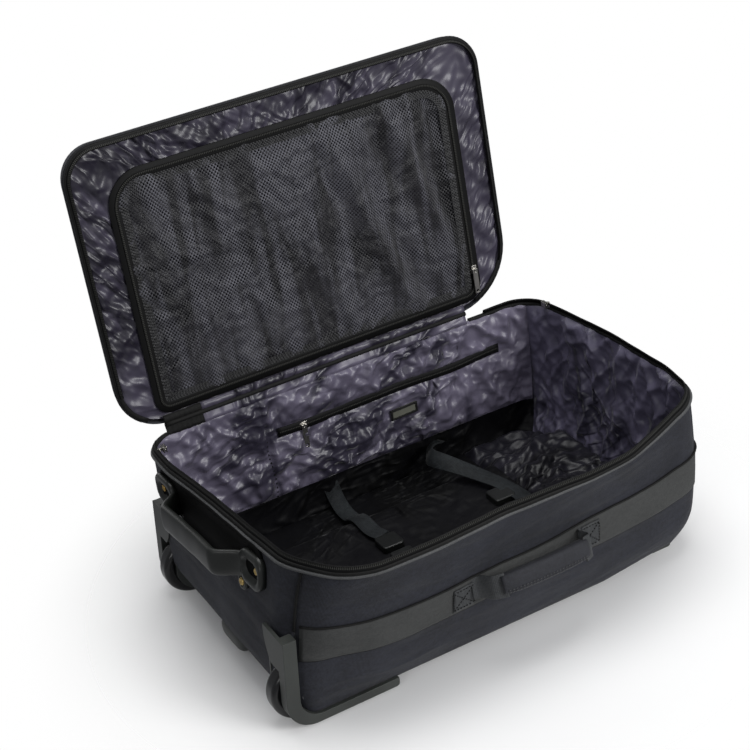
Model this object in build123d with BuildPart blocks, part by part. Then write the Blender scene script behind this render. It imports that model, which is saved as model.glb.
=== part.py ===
from build123d import *
import os
from functools import cache
from math import atan2, cos, radians, sin

os.makedirs("parts", exist_ok=True)

# Two-wheeled soft trolley duffel, lying on its back panel with its zip-round lid open.
# Millimetres. +X runs from the wheel end to the top end, -Y is the side with the carry handle,
# +Y is the side that the lid hinges on, +Z is up. The origin is on the floor, at mid length.

# ---------------------------------------------------------------- body
rim_length = 640.0          # mouth of the bag, wheel end to top end
body_width = 416.0
rim_height = 244.0          # top of the bound mouth above the floor
ground_gap = 16.0           # underside of the back panel above the floor
end_lean = 20.0             # how far the wheel end runs out towards its foot
corner_r = 45.0             # upright corners of the body and of the lid
panel_t = 3.0               # padded outer fabric
back_panel_t = 2.5
back_board_t = 2.0
lining_t = 1.0
fit_gap = 0.3               # between pieces that move past each other

half_len = rim_length / 2
half_wid = body_width / 2
board_z = ground_gap + back_panel_t
lining_z = board_z + back_board_t

# ---------------------------------------------------------------- mouth of the body
binding_h = 5.0
wire_d = 3.0
wire_play = 0.1
zip_inset = 1.5             # outer face to zip tape
zip_tape_t = 1.5
zip_tape_h = 5.0
mouth_gap = 13.0            # body rim to lid rim when the lid is zipped shut
zip_end = 14.0              # the zip stops this far short of the hinge face
wall_top = rim_height - binding_h

# ---------------------------------------------------------------- lid
lid_open = 95.0             # degrees past shut, as it stands
lid_skew = 30.0             # the open lid hangs this far towards the wheel end
lid_depth = 40.0
lid_wall = 3.0
hinge_clear = 1.5           # lid and strip to the hinge line
welt_r = 1.2
facing_depth = 3.0          # rim of the lid down to its lining border
mesh_from_end = 50.0
mesh_half_w = half_len - mesh_from_end
mesh_low = 6.0
mesh_from_front = 46.0
mesh_high = body_width - mesh_from_front
mesh_corner_r = 42.0
mesh_tape_w = 14.0
piping_out = 2.2
piping_h = 4.0

# ---------------------------------------------------------------- outside trim
band_below_rim = 91.0
band_tall = 50.0
band_high = rim_height - band_below_rim
band_low = band_high - band_tall
band_t = 1.0
band_piping_h = 3.0
seam_cord_r = 2.0

# ---------------------------------------------------------------- wheels and their housings
wheel_r = 44.0
wheel_w = 26.0
wheel_in = 12.0             # axle line in from the mouth's wheel end
wheel_from_side = 32.0
wheel_play = 4.5
hub_r = 30.0
hub_w = 22.0
hub_recess = 5.0
tyre_round = 7.0
axle_r = 4.0
bush_t = 2.0
running_clear = 0.05
cheek_t = 4.0
cheek_gap = 5.0             # wheel side to cheek
well_front = 52.0           # axle line to the front wall of the well
well_top = 98.0
leg_top = 142.0
leg_w = 19.0
leg_out = 3.5
skid_reach = 126.0          # axle line to the end of the skid
skid_low = 4.0
skid_h = 10.0
leg_corner_r = 40.0
wing_tip = 58.0             # outer corner to the tip of the end wing
wing_t = 5.0
wheel_x = wheel_in - half_len
wheel_y = half_wid - wheel_from_side
well_front_x = wheel_x + well_front
skid_end_x = wheel_x + skid_reach

# ---------------------------------------------------------------- grab bar on the wheel end
grab_from_side = 58.0
grab_below_rim = 39.0
grab_tall = 79.0            # measured up the leaning end panel
grab_half = half_wid - grab_from_side
grab_high = rim_height - grab_below_rim
grab_low = grab_high - grab_tall
grab_plate_t = 3.0
cup_from_end = 54.0
cup_half = grab_half - cup_from_end
cup_up = 12.0               # cup's lower edge above the plate's
cup_down = 6.0
cup_low = grab_low + cup_up
cup_high = grab_high - cup_down
cup_depth = 22.0
cup_wall = 2.0
bar_past_cup = 1.0
foot_past_cup = 18.0
bar_half = cup_half + bar_past_cup
bar_foot = cup_half + foot_past_cup
bar_up = 24.0
bar_down = 15.0
bar_low = grab_low + bar_up
bar_high = grab_high - bar_down
bar_out = 31.0
bar_t = 13.0
bar_round = 5.0
plate_corner_r = 20.0
ear_u = 90.0
ear_down = 8.0
ear_v = grab_low - ear_down
ear_r = 11.0
ear_t = 8.0
end_screw_in = 17.0
end_screw_down = 27.0
end_screw_u = grab_half - end_screw_in
screw_cup_w = 24.0
screw_cup_h = 36.0
screw_cup_out = 9.0
end_screw_v = grab_high - end_screw_down
screw_head_r = 5.5
screw_head_h = 2.4
screw_r = 2.0
screw_len = 12.0
screw_hole_clear = 0.2
screw_slot_w = 1.2

# ---------------------------------------------------------------- foot bracket and far feet
bracket_half = 43.0
bracket_out = 12.0
bracket_low = 6.0
bracket_high = 48.0
bracket_neck = 38.0         # half width where the bracket passes through the end panel
bracket_inner = 108.0       # half width of the tube sockets inside the bag
bracket_in = 4.0            # tube sockets' mouth in from the mouth's wheel end
bracket_under = 20.0
bracket_in_x = bracket_in - half_len
bracket_under_x = bracket_under - half_len
socket_deep = 10.0
socket_clear = 0.1
foot_w = 60.0
foot_l = 40.0
foot_from_end = 52.0
foot_from_side = 58.0
foot_x = half_len - foot_from_end
foot_y = half_wid - foot_from_side
foot_corner_r = 8.0
foot_edge = 2.0

# ---------------------------------------------------------------- telescopic handle
tube_y = 85.0
tube_w = 24.0
tube_h = 15.0
tube_wall = 1.2
tube_slide = 0.4            # inner tube to outer tube
tube_z = 32.0
tray_deep = 34.0
tray_x = half_len - tray_deep
tray_half = 106.0
tray_low = 20.8
tray_high = 43.5
tray_wall = 2.0
bezel_t = 3.0
bezel_lip = 12.0
bezel_lip_h = 6.0
inner_tube_in = 120.0
grip_in = 8.0
inner_tube_x = inner_tube_in - half_len
grip_x = half_len - grip_in
grip_out = 24.0
grip_half = 101.0
grip_h = 17.0
grip_socket = 15.0
grip_socket_w = 30.0
grip_corner_r = 8.0
grip_round = 3.0
travel = 400.0
button_len = 34.0
button_h = 9.0
button_deep = 12.0
button_proud = 3.0
button_travel = 3.5
button_round = 1.5
pin_r = 3.0
pin_len = 7.4
pin_from_end = 16.0
cover_half = 114.0
cover_high = 47.0
cover_t = 2.0

# ---------------------------------------------------------------- carry handles
web_w = 38.0
web_t = 2.0
patch_len = 38.0
patch_t = 1.8
side_handle_x = 30.0
handle_up_band = 21.0
side_handle_z = band_low + handle_up_band
side_handle_span = 222.0    # patch centre to patch centre
side_grip_len = 140.0
top_handle_z = band_low + handle_up_band
top_handle_span = 200.0
top_grip_len = 122.0
grip_pad_h = 30.0
grip_pad_t = 18.0
side_grip_stand = 57.0      # patch plane to the middle of the grip
side_grip_drop = 0.0
top_grip_stand = 32.0
top_grip_drop = 20.0
grip_pad_round = 7.0
web_seat = 4.0              # webbing's reach over its patch, and past the grip's end

# ---------------------------------------------------------------- inside fittings
pocket_from_wheel_end = 190.0
pocket_from_top_end = 64.0
pocket_below_rim = 66.0
pocket_zip_x0 = pocket_from_wheel_end - half_len
pocket_zip_x1 = half_len - pocket_from_top_end
pocket_zip_z = rim_height - pocket_below_rim
pocket_tape_w = 18.0
pocket_tape_t = 1.0
label_x = 78.0
label_below_zip = 41.0
label_z = pocket_zip_z - label_below_zip
label_w = 46.0
label_h = 17.0
label_t = 1.5
label_corner_r = 3.0
strap_w = 25.0
strap_t = 1.2
strap_x = (-60.0, 130.0)
buckle_l = 34.0
buckle_w = 34.0
buckle_h = 9.0
buckle_corner_r = 5.0
buckle_round = 2.0
plug_l = 26.0
socket_end_y = 38.0         # where the strap leaves its buckle socket, off the middle
plug_end_y = 34.0

# ---------------------------------------------------------------- zip sliders
slider_len = 12.0
slider_wide = 9.0
slider_deep = 4.0
pull_t = 1.6
pull_w = 8.0
pull_len = 38.0
pull_hole_r = 2.2
pocket_slider_in = 42.0
pocket_slider_x = pocket_zip_x0 + pocket_slider_in
mesh_slider_b = 62.0
main_slider_in = 52.0       # parked sliders, in from the hinge face
main_slider_y = half_wid - main_slider_in
main_pull_len = 24.0
bail_t = 1.6
bail_r = 1.8
bail_stand = 1.6
pull_pin_r = 0.7
pull_over = 1.1
pull_slot = 3.4
astride_h = 8.5
astride_half = 2.6
astride_stand = 4.2
lid_tape_start = 60.0       # the lid's zip tape leaves room for the parked slider

# ---------------------------------------------------------------- planes worked out from the sizes
lean = atan2(end_lean, rim_height - ground_gap)
end_plane = Plane(
    origin=(-half_len - end_lean, 0, ground_gap),
    x_dir=(0, -1, 0),
    z_dir=(-cos(lean), 0, sin(lean)),
)
seam_in = corner_r * (1 - cos(radians(45)))
wheel_seam = end_plane.offset(-seam_in)
trim_seam = end_plane.offset(-seam_in - seam_cord_r)
top_seam = Plane.YZ.offset(half_len - seam_in)

axis_z = rim_height + mouth_gap
lid_tilt = radians(lid_open)
lid_plane = Plane(
    origin=(-lid_skew, half_wid, axis_z),
    x_dir=(1, 0, 0),
    z_dir=(0, -sin(lid_tilt), -cos(lid_tilt)),
)
lid_mid = (hinge_clear + body_width) / 2
lid_high = body_width - hinge_clear


def keep(piece, name):
    """Labels a finished piece and writes it under its own name."""
    piece.label = name
    export_step(piece, f"parts/{name}.step")


def end_x(z):
    """Outer face of the leaning wheel end at height z."""
    return -half_len - end_lean * (rim_height - z) / (rim_height - ground_gap)


def end_v(z):
    """Distance up the leaning wheel end for height z."""
    return (z - ground_gap) / cos(lean)


def side_plane(y):
    """Upright plane across the width at y, facing -Y."""
    return Plane.XZ.offset(-y)


def lid_level(depth):
    """Plane of the lid at this depth behind its rim."""
    return lid_plane.offset(-depth)


@cache
def bag_core(inset):
    """The body's solid shape from the floor to above its mouth, inset from its outer face."""
    with BuildPart() as core:
        with BuildSketch(Plane.XZ):
            with BuildLine():
                Polyline(
                    (end_x(0) + inset / cos(lean), 0),
                    (half_len - inset, 0),
                    (half_len - inset, 2 * rim_height),
                    (end_x(2 * rim_height) + inset / cos(lean), 2 * rim_height),
                    close=True,
                )
            make_face()
        extrude(amount=half_wid - inset, both=True)
        upright = core.edges().filter_by(lambda e: abs((e @ 0).Z - (e @ 1).Z) > rim_height)
        fillet(upright, corner_r - inset)
    return core.part


def bag_block(inset, low, high):
    """The body's solid shape between two heights, inset from its outer face."""
    core = bag_core(inset)
    with BuildPart() as block:
        add(core)
        split(bisect_by=Plane.XY.offset(low), keep=Keep.TOP)
        split(bisect_by=Plane.XY.offset(high), keep=Keep.BOTTOM)
    return block.part


def mouth_block(inset, low, high):
    """Upright block on the mouth's outline between two heights, inset from its edge."""
    with BuildPart() as block:
        with BuildSketch(Plane.XY.offset(low)):
            RectangleRounded(rim_length - 2 * inset, body_width - 2 * inset, corner_r - inset)
        extrude(amount=high - low)
    return block.part


def box_between(low, high):
    """Plain box from its low corner to its high corner, made outside any part."""
    size = [b - a for a, b in zip(low, high)]
    centre = [(a + b) / 2 for a, b in zip(low, high)]
    return Pos(*centre) * Box(*size)


def cut_zip_opening(width):
    """Keeps the part of the active solid that lies clear of the hinge side."""
    keep_y = half_wid - width
    split(bisect_by=Plane.XZ.offset(-keep_y), keep=Keep.TOP)


far_x = rim_length
well_y0 = wheel_y - wheel_w / 2 - cheek_gap - cheek_t
well_y1 = wheel_y + wheel_w / 2 + cheek_gap + cheek_t
axle_inner = well_y0 - cheek_t
axle_outer = well_y1 + cheek_t
well_boxes = []
for side in (-1, 1):
    well_low, well_high = sorted((side * well_y0, side * (axle_outer + fit_gap)))
    well_boxes.append(box_between((-far_x, well_low, 0), (well_front_x, well_high, well_top)))
tray_cut = box_between((tray_x, -tray_half, tray_low), (far_x, tray_half, tray_high))
with BuildPart(end_plane) as cup_cut:
    with Locations((0, (cup_low + cup_high) / 2, 0)):
        Box(
            2 * (cup_half + cup_wall),
            cup_high - cup_low + 2 * cup_wall,
            2 * cup_depth,
        )
screw_spots = []
for side in (-1, 1):
    screw_spots.append((side * ear_u, ear_v, ear_t))
    screw_spots.append((side * end_screw_u, end_screw_v, grab_plate_t))
with BuildPart(end_plane) as screw_cut:
    for u, v, w in screw_spots:
        with Locations((u, v, w)):
            Cylinder(
                screw_r + screw_hole_clear,
                2 * screw_len,
            )

outer_wall = bag_block(0, board_z, wall_top)
inner_wall = bag_block(panel_t, board_z, wall_top)
bracket_top = cover_high - cover_t - fit_gap
bracket_cut = box_between(
    (-far_x, -bracket_neck, lining_z), (bracket_in_x, bracket_neck, bracket_top)
)


# ================================================================ outer shell of the bag
back_panel_block = bag_block(0, ground_gap, board_z)
with BuildPart() as back_panel:
    add(back_panel_block)
    for well in well_boxes:
        add(well, mode=Mode.SUBTRACT)
keep(back_panel.part, "back_panel")

back_board_block = bag_block(panel_t, board_z, lining_z)
with BuildPart() as back_board:
    add(back_board_block)
    for well in well_boxes:
        add(well, mode=Mode.SUBTRACT)
keep(back_board.part, "back_board")


def wall_ring():
    """The four outer walls as one ring, with every cut-out, added to the active part."""
    add(outer_wall)
    add(inner_wall, mode=Mode.SUBTRACT)
    for well in well_boxes:
        add(well, mode=Mode.SUBTRACT)
    add(tray_cut, mode=Mode.SUBTRACT)
    add(cup_cut.part, mode=Mode.SUBTRACT)
    add(screw_cut.part, mode=Mode.SUBTRACT)
    add(bracket_cut, mode=Mode.SUBTRACT)


with BuildPart() as wheel_end_panel:
    wall_ring()
    split(bisect_by=wheel_seam, keep=Keep.TOP)
keep(wheel_end_panel.part, "wheel_end_panel")

with BuildPart() as top_end_panel:
    wall_ring()
    split(bisect_by=top_seam, keep=Keep.TOP)
keep(top_end_panel.part, "top_end_panel")

for panel_name, kept in (("near_side_panel", Keep.TOP), ("hinge_side_panel", Keep.BOTTOM)):
    with BuildPart() as side_panel:
        wall_ring()
        split(bisect_by=wheel_seam, keep=Keep.BOTTOM)
        split(bisect_by=top_seam, keep=Keep.BOTTOM)
        split(bisect_by=Plane.XZ, keep=kept)
    keep(side_panel.part, panel_name)

band_outer = bag_block(-band_t, band_low, band_high)
band_inner = bag_block(0, band_low, band_high)
with BuildPart() as side_band:
    add(band_outer)
    add(band_inner, mode=Mode.SUBTRACT)
    split(bisect_by=trim_seam, keep=Keep.BOTTOM)
keep(side_band.part, "side_band")

rim_cord_low = wall_top - piping_h
rim_cord_outer = bag_block(-piping_out, rim_cord_low, wall_top)
rim_cord_inner = bag_block(0, rim_cord_low, wall_top)
band_cord_outer = bag_block(-piping_out, band_high, band_high + band_piping_h)
band_cord_inner = bag_block(0, band_high, band_high + band_piping_h)
seam_cord_low = end_v(leg_top) + seam_cord_r
seam_cord_high = end_v(rim_cord_low) - fit_gap

with BuildPart() as rim_piping:
    add(rim_cord_outer)
    add(rim_cord_inner, mode=Mode.SUBTRACT)
    cut_zip_opening(zip_end)
keep(rim_piping.part, "rim_piping")

cord_u = half_wid - seam_in
body_solid = bag_block(0, ground_gap, rim_height)
with BuildPart() as band_cord:
    add(band_cord_outer)
    add(band_cord_inner, mode=Mode.SUBTRACT)
    split(bisect_by=trim_seam, keep=Keep.BOTTOM)

with BuildPart() as seam_cords:
    for side in (-1, 1):
        with BuildSketch(end_plane.offset(-seam_in)):
            with Locations((side * cord_u, (seam_cord_low + seam_cord_high) / 2)):
                Rectangle(2 * seam_cord_r, seam_cord_high - seam_cord_low)
        extrude(amount=seam_cord_r, both=True)
    add(body_solid, mode=Mode.SUBTRACT)
    add(band_cord.part)
keep(seam_cords.part, "seam_cords")


# ================================================================ mouth: binding, wire, zip tape
binding_mid = (panel_t + lining_t) / 2
channel = wire_d + 2 * wire_play
binding_outer = bag_block(0, wall_top, rim_height)
binding_inner = bag_block(panel_t + lining_t, wall_top, rim_height)
channel_outer = bag_block(binding_mid - channel / 2, wall_top, wall_top + channel + wire_play)
channel_inner = bag_block(binding_mid + channel / 2, wall_top, wall_top + channel + wire_play)
with BuildPart() as channel_ring:
    add(channel_outer)
    add(channel_inner, mode=Mode.SUBTRACT)

with BuildPart() as rim_binding:
    add(binding_outer)
    add(binding_inner, mode=Mode.SUBTRACT)
    add(channel_ring.part, mode=Mode.SUBTRACT)
keep(rim_binding.part, "rim_binding")

wire_z = wall_top + wire_play + wire_d / 2
wire_x0 = end_x(wire_z) + binding_mid
wire_x1 = half_len - binding_mid
with BuildPart() as rim_wire:
    with BuildLine() as wire_loop:
        with Locations(((wire_x0 + wire_x1) / 2, 0, wire_z)):
            wire_path = FilletPolyline(
                (wire_x0, half_wid - binding_mid, wire_z),
                (wire_x0, binding_mid - half_wid, wire_z),
                (wire_x1, binding_mid - half_wid, wire_z),
                (wire_x1, half_wid - binding_mid, wire_z),
                radius=corner_r - binding_mid,
                close=True,
            )
    with BuildSketch(Plane(origin=wire_path @ 0, z_dir=wire_path % 0)):
        Circle(wire_d / 2)
    sweep()
keep(rim_wire.part, "rim_wire")

tape_outer = mouth_block(zip_inset, rim_height, rim_height + zip_tape_h)
tape_inner = mouth_block(zip_inset + zip_tape_t, rim_height, rim_height + zip_tape_h)
with BuildPart() as body_zip_tape:
    add(tape_outer)
    add(tape_inner, mode=Mode.SUBTRACT)
    cut_zip_opening(zip_end)
keep(body_zip_tape.part, "body_zip_tape")

strip_high = axis_z - hinge_clear
strip_outer = mouth_block(0, rim_height, strip_high)
strip_inner = mouth_block(lining_t, rim_height, strip_high)
with BuildPart() as hinge_strip:
    add(strip_outer)
    add(strip_inner, mode=Mode.SUBTRACT)
    split(bisect_by=Plane.XZ.offset(-(half_wid - zip_end)), keep=Keep.BOTTOM)
keep(hinge_strip.part, "hinge_strip")

with BuildPart() as hinge_welt:
    with BuildSketch(Plane.YZ):
        with Locations((half_wid, axis_z)):
            Circle(welt_r)
    extrude(amount=half_len - corner_r, both=True)
keep(hinge_welt.part, "hinge_welt")


# ================================================================ wheel housings, wheels, axles
cavity_r = wheel_r + wheel_play
cavity_y0 = well_y0 + cheek_t
cavity_y1 = well_y1 - cheek_t
leg_y = half_wid + leg_out
wing_foot = 2 * wheel_r - 2 * cheek_gap
wing_belly = 6.0
body_solid_low = bag_block(0, ground_gap, leg_top + 10)


def across(side, inner_y, outer_y):
    """Plane and depth that fill the width between two distances from the middle, on one side."""
    return side_plane(max(side * inner_y, side * outer_y)), outer_y - inner_y


def nearest(sketch, x, y):
    """The one vertex of a sketch that lies nearest a point of it."""
    return sketch.vertices().sort_by_distance((x, y))[0]


def wheel_housing(side):
    """Moulded corner: side leg and skid, end wing, and the well that holds the axle."""
    wing_high = end_v(leg_top)
    wing_low = end_v(wing_foot)
    wing_tip_u = -side * (leg_y - wing_tip)
    wing_in_u = -side * (cavity_y1 - cheek_gap)
    leg_plane, leg_depth = across(side, cavity_y1, leg_y)
    well_plane, well_depth = across(side, well_y0, well_y1)
    cavity_plane, cavity_depth = across(side, cavity_y0, cavity_y1)
    outer_foot = (end_x(skid_low) - wing_t, skid_low)
    inner_foot = (end_x(ground_gap) - wing_t + leg_w, ground_gap)
    with BuildPart() as shell:
        with BuildSketch(leg_plane) as leg:
            with BuildLine():
                Polyline(
                    (end_x(leg_top) - wing_t, leg_top),
                    outer_foot,
                    (skid_end_x, skid_low),
                    (skid_end_x, ground_gap),
                    inner_foot,
                    (end_x(leg_top) - wing_t + leg_w, leg_top),
                    close=True,
                )
            make_face()
            fillet(nearest(leg, *outer_foot), leg_corner_r)
            fillet(nearest(leg, *inner_foot), leg_corner_r - leg_w / 2)
            fillet(nearest(leg, skid_end_x, skid_low), skid_h / 2)
        extrude(amount=leg_depth)
        with BuildSketch(end_plane):
            with BuildLine():
                Polyline(
                    (wing_in_u, wing_low),
                    (-side * leg_y, wing_low),
                    (-side * leg_y, wing_high),
                    (wing_tip_u, wing_high),
                )
                ThreePointArc(
                    (wing_tip_u, wing_high),
                    (wing_tip_u - side * wing_belly, (wing_high + wing_low) / 2),
                    (wing_in_u, wing_low),
                )
            make_face()
        extrude(amount=wing_t)
        add(body_solid_low, mode=Mode.SUBTRACT)
        with BuildSketch(well_plane) as well:
            with BuildLine():
                Polyline(
                    (end_x(well_top), well_top),
                    (end_x(skid_h), skid_h),
                    (well_front_x, skid_h),
                    (well_front_x, well_top),
                    close=True,
                )
            make_face()
            fillet(nearest(well, end_x(skid_h), skid_h), leg_corner_r - cheek_t)
        extrude(amount=well_depth)
        with BuildSketch(cavity_plane):
            with Locations((wheel_x, wheel_r)):
                Circle(cavity_r)
            with Locations((wheel_x - half_len / 2, wheel_r)):
                Rectangle(half_len, 2 * cavity_r)
            with Locations((wheel_x, 0)):
                Rectangle(2 * cavity_r, 2 * wheel_r)
        extrude(amount=cavity_depth, mode=Mode.SUBTRACT)
        with Locations((wheel_x, side * wheel_y, wheel_r)):
            Cylinder(axle_r, 2 * leg_y, rotation=(90, 0, 0), mode=Mode.SUBTRACT)
    return shell.part


for side_name, side in (("near", -1), ("far", 1)):
    keep(wheel_housing(side), f"wheel_housing_{side_name}")

with BuildPart() as wheel_axles:
    for side in (-1, 1):
        shaft_plane, shaft_len = across(side, axle_inner, axle_outer)
        with BuildSketch(shaft_plane):
            with Locations((wheel_x, wheel_r)):
                Circle(axle_r)
        extrude(amount=shaft_len)
        for head in ((axle_inner, well_y0), (well_y1, axle_outer)):
            head_plane, head_len = across(side, *head)
            with BuildSketch(head_plane):
                with Locations((wheel_x, wheel_r)):
                    Circle(2 * axle_r)
            extrude(amount=head_len)
keep(wheel_axles.part, "wheel_axles")

bush_r = axle_r + bush_t
with BuildPart() as wheel_bushes:
    for side in (-1, 1):
        bush_plane, bush_len = across(side, cavity_y0 + fit_gap, cavity_y1 - fit_gap)
        with BuildSketch(bush_plane):
            with Locations((wheel_x, wheel_r)):
                Circle(bush_r)
                Circle(axle_r, mode=Mode.SUBTRACT)
        extrude(amount=bush_len)
keep(wheel_bushes.part, "wheel_bushes")

for side_name, side in (("near", -1), ("far", 1)):
    hub_plane, hub_len = across(side, wheel_y - hub_w / 2, wheel_y + hub_w / 2)
    tyre_plane, tyre_len = across(side, wheel_y - wheel_w / 2, wheel_y + wheel_w / 2)
    with BuildPart() as hub:
        with BuildSketch(hub_plane):
            with Locations((wheel_x, wheel_r)):
                Circle(hub_r)
        extrude(amount=hub_len)
        for outer_face in (hub.faces().sort_by(Axis.Y)[0], hub.faces().sort_by(Axis.Y)[-1]):
            with BuildSketch(Plane(outer_face)):
                Circle(hub_r - hub_recess)
                Circle(bush_r + hub_recess, mode=Mode.SUBTRACT)
            extrude(amount=-hub_recess, mode=Mode.SUBTRACT)
        with BuildSketch(hub_plane):
            with Locations((wheel_x, wheel_r)):
                Circle(bush_r + running_clear)
        extrude(amount=hub_len, mode=Mode.SUBTRACT)
    with BuildPart() as tyre:
        with BuildSketch(tyre_plane):
            with Locations((wheel_x, wheel_r)):
                Circle(wheel_r)
                Circle(hub_r, mode=Mode.SUBTRACT)
        extrude(amount=tyre_len)
        tread = tyre.edges().filter_by(GeomType.CIRCLE).filter_by(lambda e: e.radius > hub_r + 1)
        fillet(tread, tyre_round)
    keep(hub.part, f"{side_name}_wheel_hub")
    keep(tyre.part, f"{side_name}_wheel_tyre")


# ================================================================ grab bar and foot bracket
def end_point(u, v, w):
    """Point on the leaning wheel end: across, up the slope, and out from it."""
    return end_plane.from_local_coords((u, v, w))


bar_plane = Plane(origin=end_point(0, bar_high, 0), x_dir=end_plane.x_dir, z_dir=-end_plane.y_dir)
with BuildPart() as bar:
    with BuildSketch(bar_plane):
        with BuildLine():
            Polyline(
                (-bar_foot, grab_plate_t),
                (-bar_half, bar_out),
                (bar_half, bar_out),
                (bar_foot, grab_plate_t),
                (bar_foot - bar_t, grab_plate_t),
                (bar_half - bar_t / 2, bar_out - bar_t),
                (bar_t / 2 - bar_half, bar_out - bar_t),
                (bar_t - bar_foot, grab_plate_t),
                close=True,
            )
        make_face()
    extrude(amount=bar_high - bar_low)
    long_edges = bar.edges().filter_by(Axis.Y).filter_by(lambda e: e.length > bar_half)
    fillet(long_edges, bar_round)

plate_v = (grab_low + grab_high) / 2
cup_v = (cup_low + cup_high) / 2
with BuildPart() as grab_bar:
    with BuildSketch(end_plane):
        with Locations((0, plate_v)):
            RectangleRounded(2 * grab_half, grab_high - grab_low, plate_corner_r)
        with Locations((0, cup_v)):
            Rectangle(2 * cup_half, cup_high - cup_low, mode=Mode.SUBTRACT)
    extrude(amount=grab_plate_t)
    with BuildSketch(end_plane.offset(-cup_depth)):
        with Locations((0, cup_v)):
            Rectangle(2 * (cup_half + cup_wall), cup_high - cup_low + 2 * cup_wall)
    extrude(amount=cup_depth)
    with BuildSketch(end_plane.offset(cup_wall - cup_depth)):
        with Locations((0, cup_v)):
            Rectangle(2 * cup_half, cup_high - cup_low)
    extrude(amount=cup_depth, mode=Mode.SUBTRACT)
    for side in (-1, 1):
        with BuildSketch(end_plane):
            with Locations((side * end_screw_u, end_screw_v)):
                Ellipse(screw_cup_w / 2 + cup_wall, screw_cup_h / 2 + cup_wall)
        extrude(amount=screw_cup_out)
        with BuildSketch(end_plane.offset(grab_plate_t)):
            with Locations((side * end_screw_u, end_screw_v)):
                Ellipse(screw_cup_w / 2, screw_cup_h / 2)
        extrude(amount=screw_cup_out, mode=Mode.SUBTRACT)
        with BuildSketch(end_plane):
            with Locations((side * ear_u, ear_v)):
                Circle(ear_r)
            with Locations((side * ear_u, (ear_v + grab_low) / 2 + 1)):
                Rectangle(2 * ear_r, grab_low - ear_v + 2)
        extrude(amount=ear_t)
    add(bar.part)
    add(screw_cut.part, mode=Mode.SUBTRACT)
keep(grab_bar.part, "grab_bar")

with BuildPart() as brass_screws:
    for u, v, w in screw_spots:
        with BuildSketch(end_plane.offset(w - screw_len)):
            with Locations((u, v)):
                Circle(screw_r)
        extrude(amount=screw_len)
        with BuildSketch(end_plane.offset(w)):
            with Locations((u, v)):
                Circle(screw_head_r)
        extrude(amount=screw_head_h)
        with BuildSketch(end_plane.offset(w + screw_head_h)):
            with Locations((u, v)):
                Rectangle(1.4 * screw_head_r, screw_slot_w)
                Rectangle(screw_slot_w, 1.4 * screw_head_r)
        extrude(amount=-screw_head_h / 2, mode=Mode.SUBTRACT)
keep(brass_screws.part, "brass_screws")

socket_block = bag_block(panel_t, lining_z, bracket_top)
neck_block = bag_block(0, lining_z, bracket_top)
socket_reach = box_between(
    (-far_x, -bracket_inner, lining_z), (bracket_in_x, bracket_inner, bracket_top)
)
with BuildPart() as bracket_neck_part:
    add(neck_block)
    add(bracket_cut, mode=Mode.INTERSECT)
with BuildPart() as bracket_socket_part:
    add(socket_block)
    add(socket_reach, mode=Mode.INTERSECT)
    for side in (-1, 1):
        with BuildSketch(Plane.YZ.offset(bracket_in_x)):
            with Locations((side * tube_y, tube_z)):
                Rectangle(tube_w + 2 * socket_clear, tube_h + 2 * socket_clear)
        extrude(amount=-socket_deep, mode=Mode.SUBTRACT)
outer_low = (end_x(0) - bracket_out, bracket_low)
outer_high = (end_x(bracket_high) - bracket_out, bracket_high - bracket_out)
with BuildPart() as base_bracket:
    with BuildSketch(side_plane(bracket_half)) as bracket_side:
        with BuildLine():
            Polyline(
                (end_x(bracket_high), bracket_high),
                outer_high,
                outer_low,
                (bracket_under_x, bracket_low),
                (bracket_under_x, ground_gap),
                (0, ground_gap),
                (0, bracket_high),
                close=True,
            )
        make_face()
        fillet(nearest(bracket_side, *outer_low), bracket_out)
        fillet(nearest(bracket_side, *outer_high), bracket_out)
    extrude(amount=2 * bracket_half)
    fillet(base_bracket.edges().filter_by(lambda e: (e @ 0.5).X < end_x(0) - 1), bracket_out / 4)
    add(body_solid_low, mode=Mode.SUBTRACT)
    add(bracket_neck_part.part)
    add(bracket_socket_part.part)
keep(base_bracket.part, "base_bracket")

with BuildPart() as far_end_feet:
    with BuildSketch(Plane.XY):
        with Locations((foot_x, -foot_y), (foot_x, foot_y)):
            RectangleRounded(foot_l, foot_w, foot_corner_r)
    extrude(amount=ground_gap)
    chamfer(far_end_feet.edges().group_by(Axis.Z)[0], foot_edge)
keep(far_end_feet.part, "far_end_feet")


# ================================================================ telescopic handle
tray_mid = (tray_low + tray_high) / 2
grip_back_x = grip_x - grip_socket
grip_front_x = grip_x + grip_out
tube_hollow = (tube_w - 2 * tube_wall, tube_h - 2 * tube_wall)
slide_tube = (tube_hollow[0] - 2 * tube_slide, tube_hollow[1] - 2 * tube_slide)
pin_x = inner_tube_x + pin_from_end
pin_top = tube_z + slide_tube[1] / 2

with BuildPart() as outer_tubes:
    for side in (-1, 1):
        with BuildSketch(Plane.YZ.offset(tray_x)):
            with Locations((side * tube_y, tube_z)):
                Rectangle(tube_w, tube_h)
                Rectangle(*tube_hollow, mode=Mode.SUBTRACT)
        extrude(amount=bracket_in_x - socket_deep - tray_x)
        with Locations((pin_x + travel, side * tube_y, tube_z + tube_h / 2)):
            Cylinder(pin_r + fit_gap, 4 * tube_wall, mode=Mode.SUBTRACT)
keep(outer_tubes.part, "outer_tubes")

with BuildPart() as inner_tubes:
    for side in (-1, 1):
        with BuildSketch(Plane.YZ.offset(inner_tube_x)):
            with Locations((side * tube_y, tube_z)):
                Rectangle(*slide_tube)
                offset(amount=-tube_wall, mode=Mode.SUBTRACT)
        extrude(amount=grip_x - inner_tube_x)
        with Locations((pin_x, side * tube_y, pin_top)):
            Cylinder(pin_r + running_clear, 4 * tube_wall, mode=Mode.SUBTRACT)
keep(inner_tubes.part, "inner_tubes")

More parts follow.
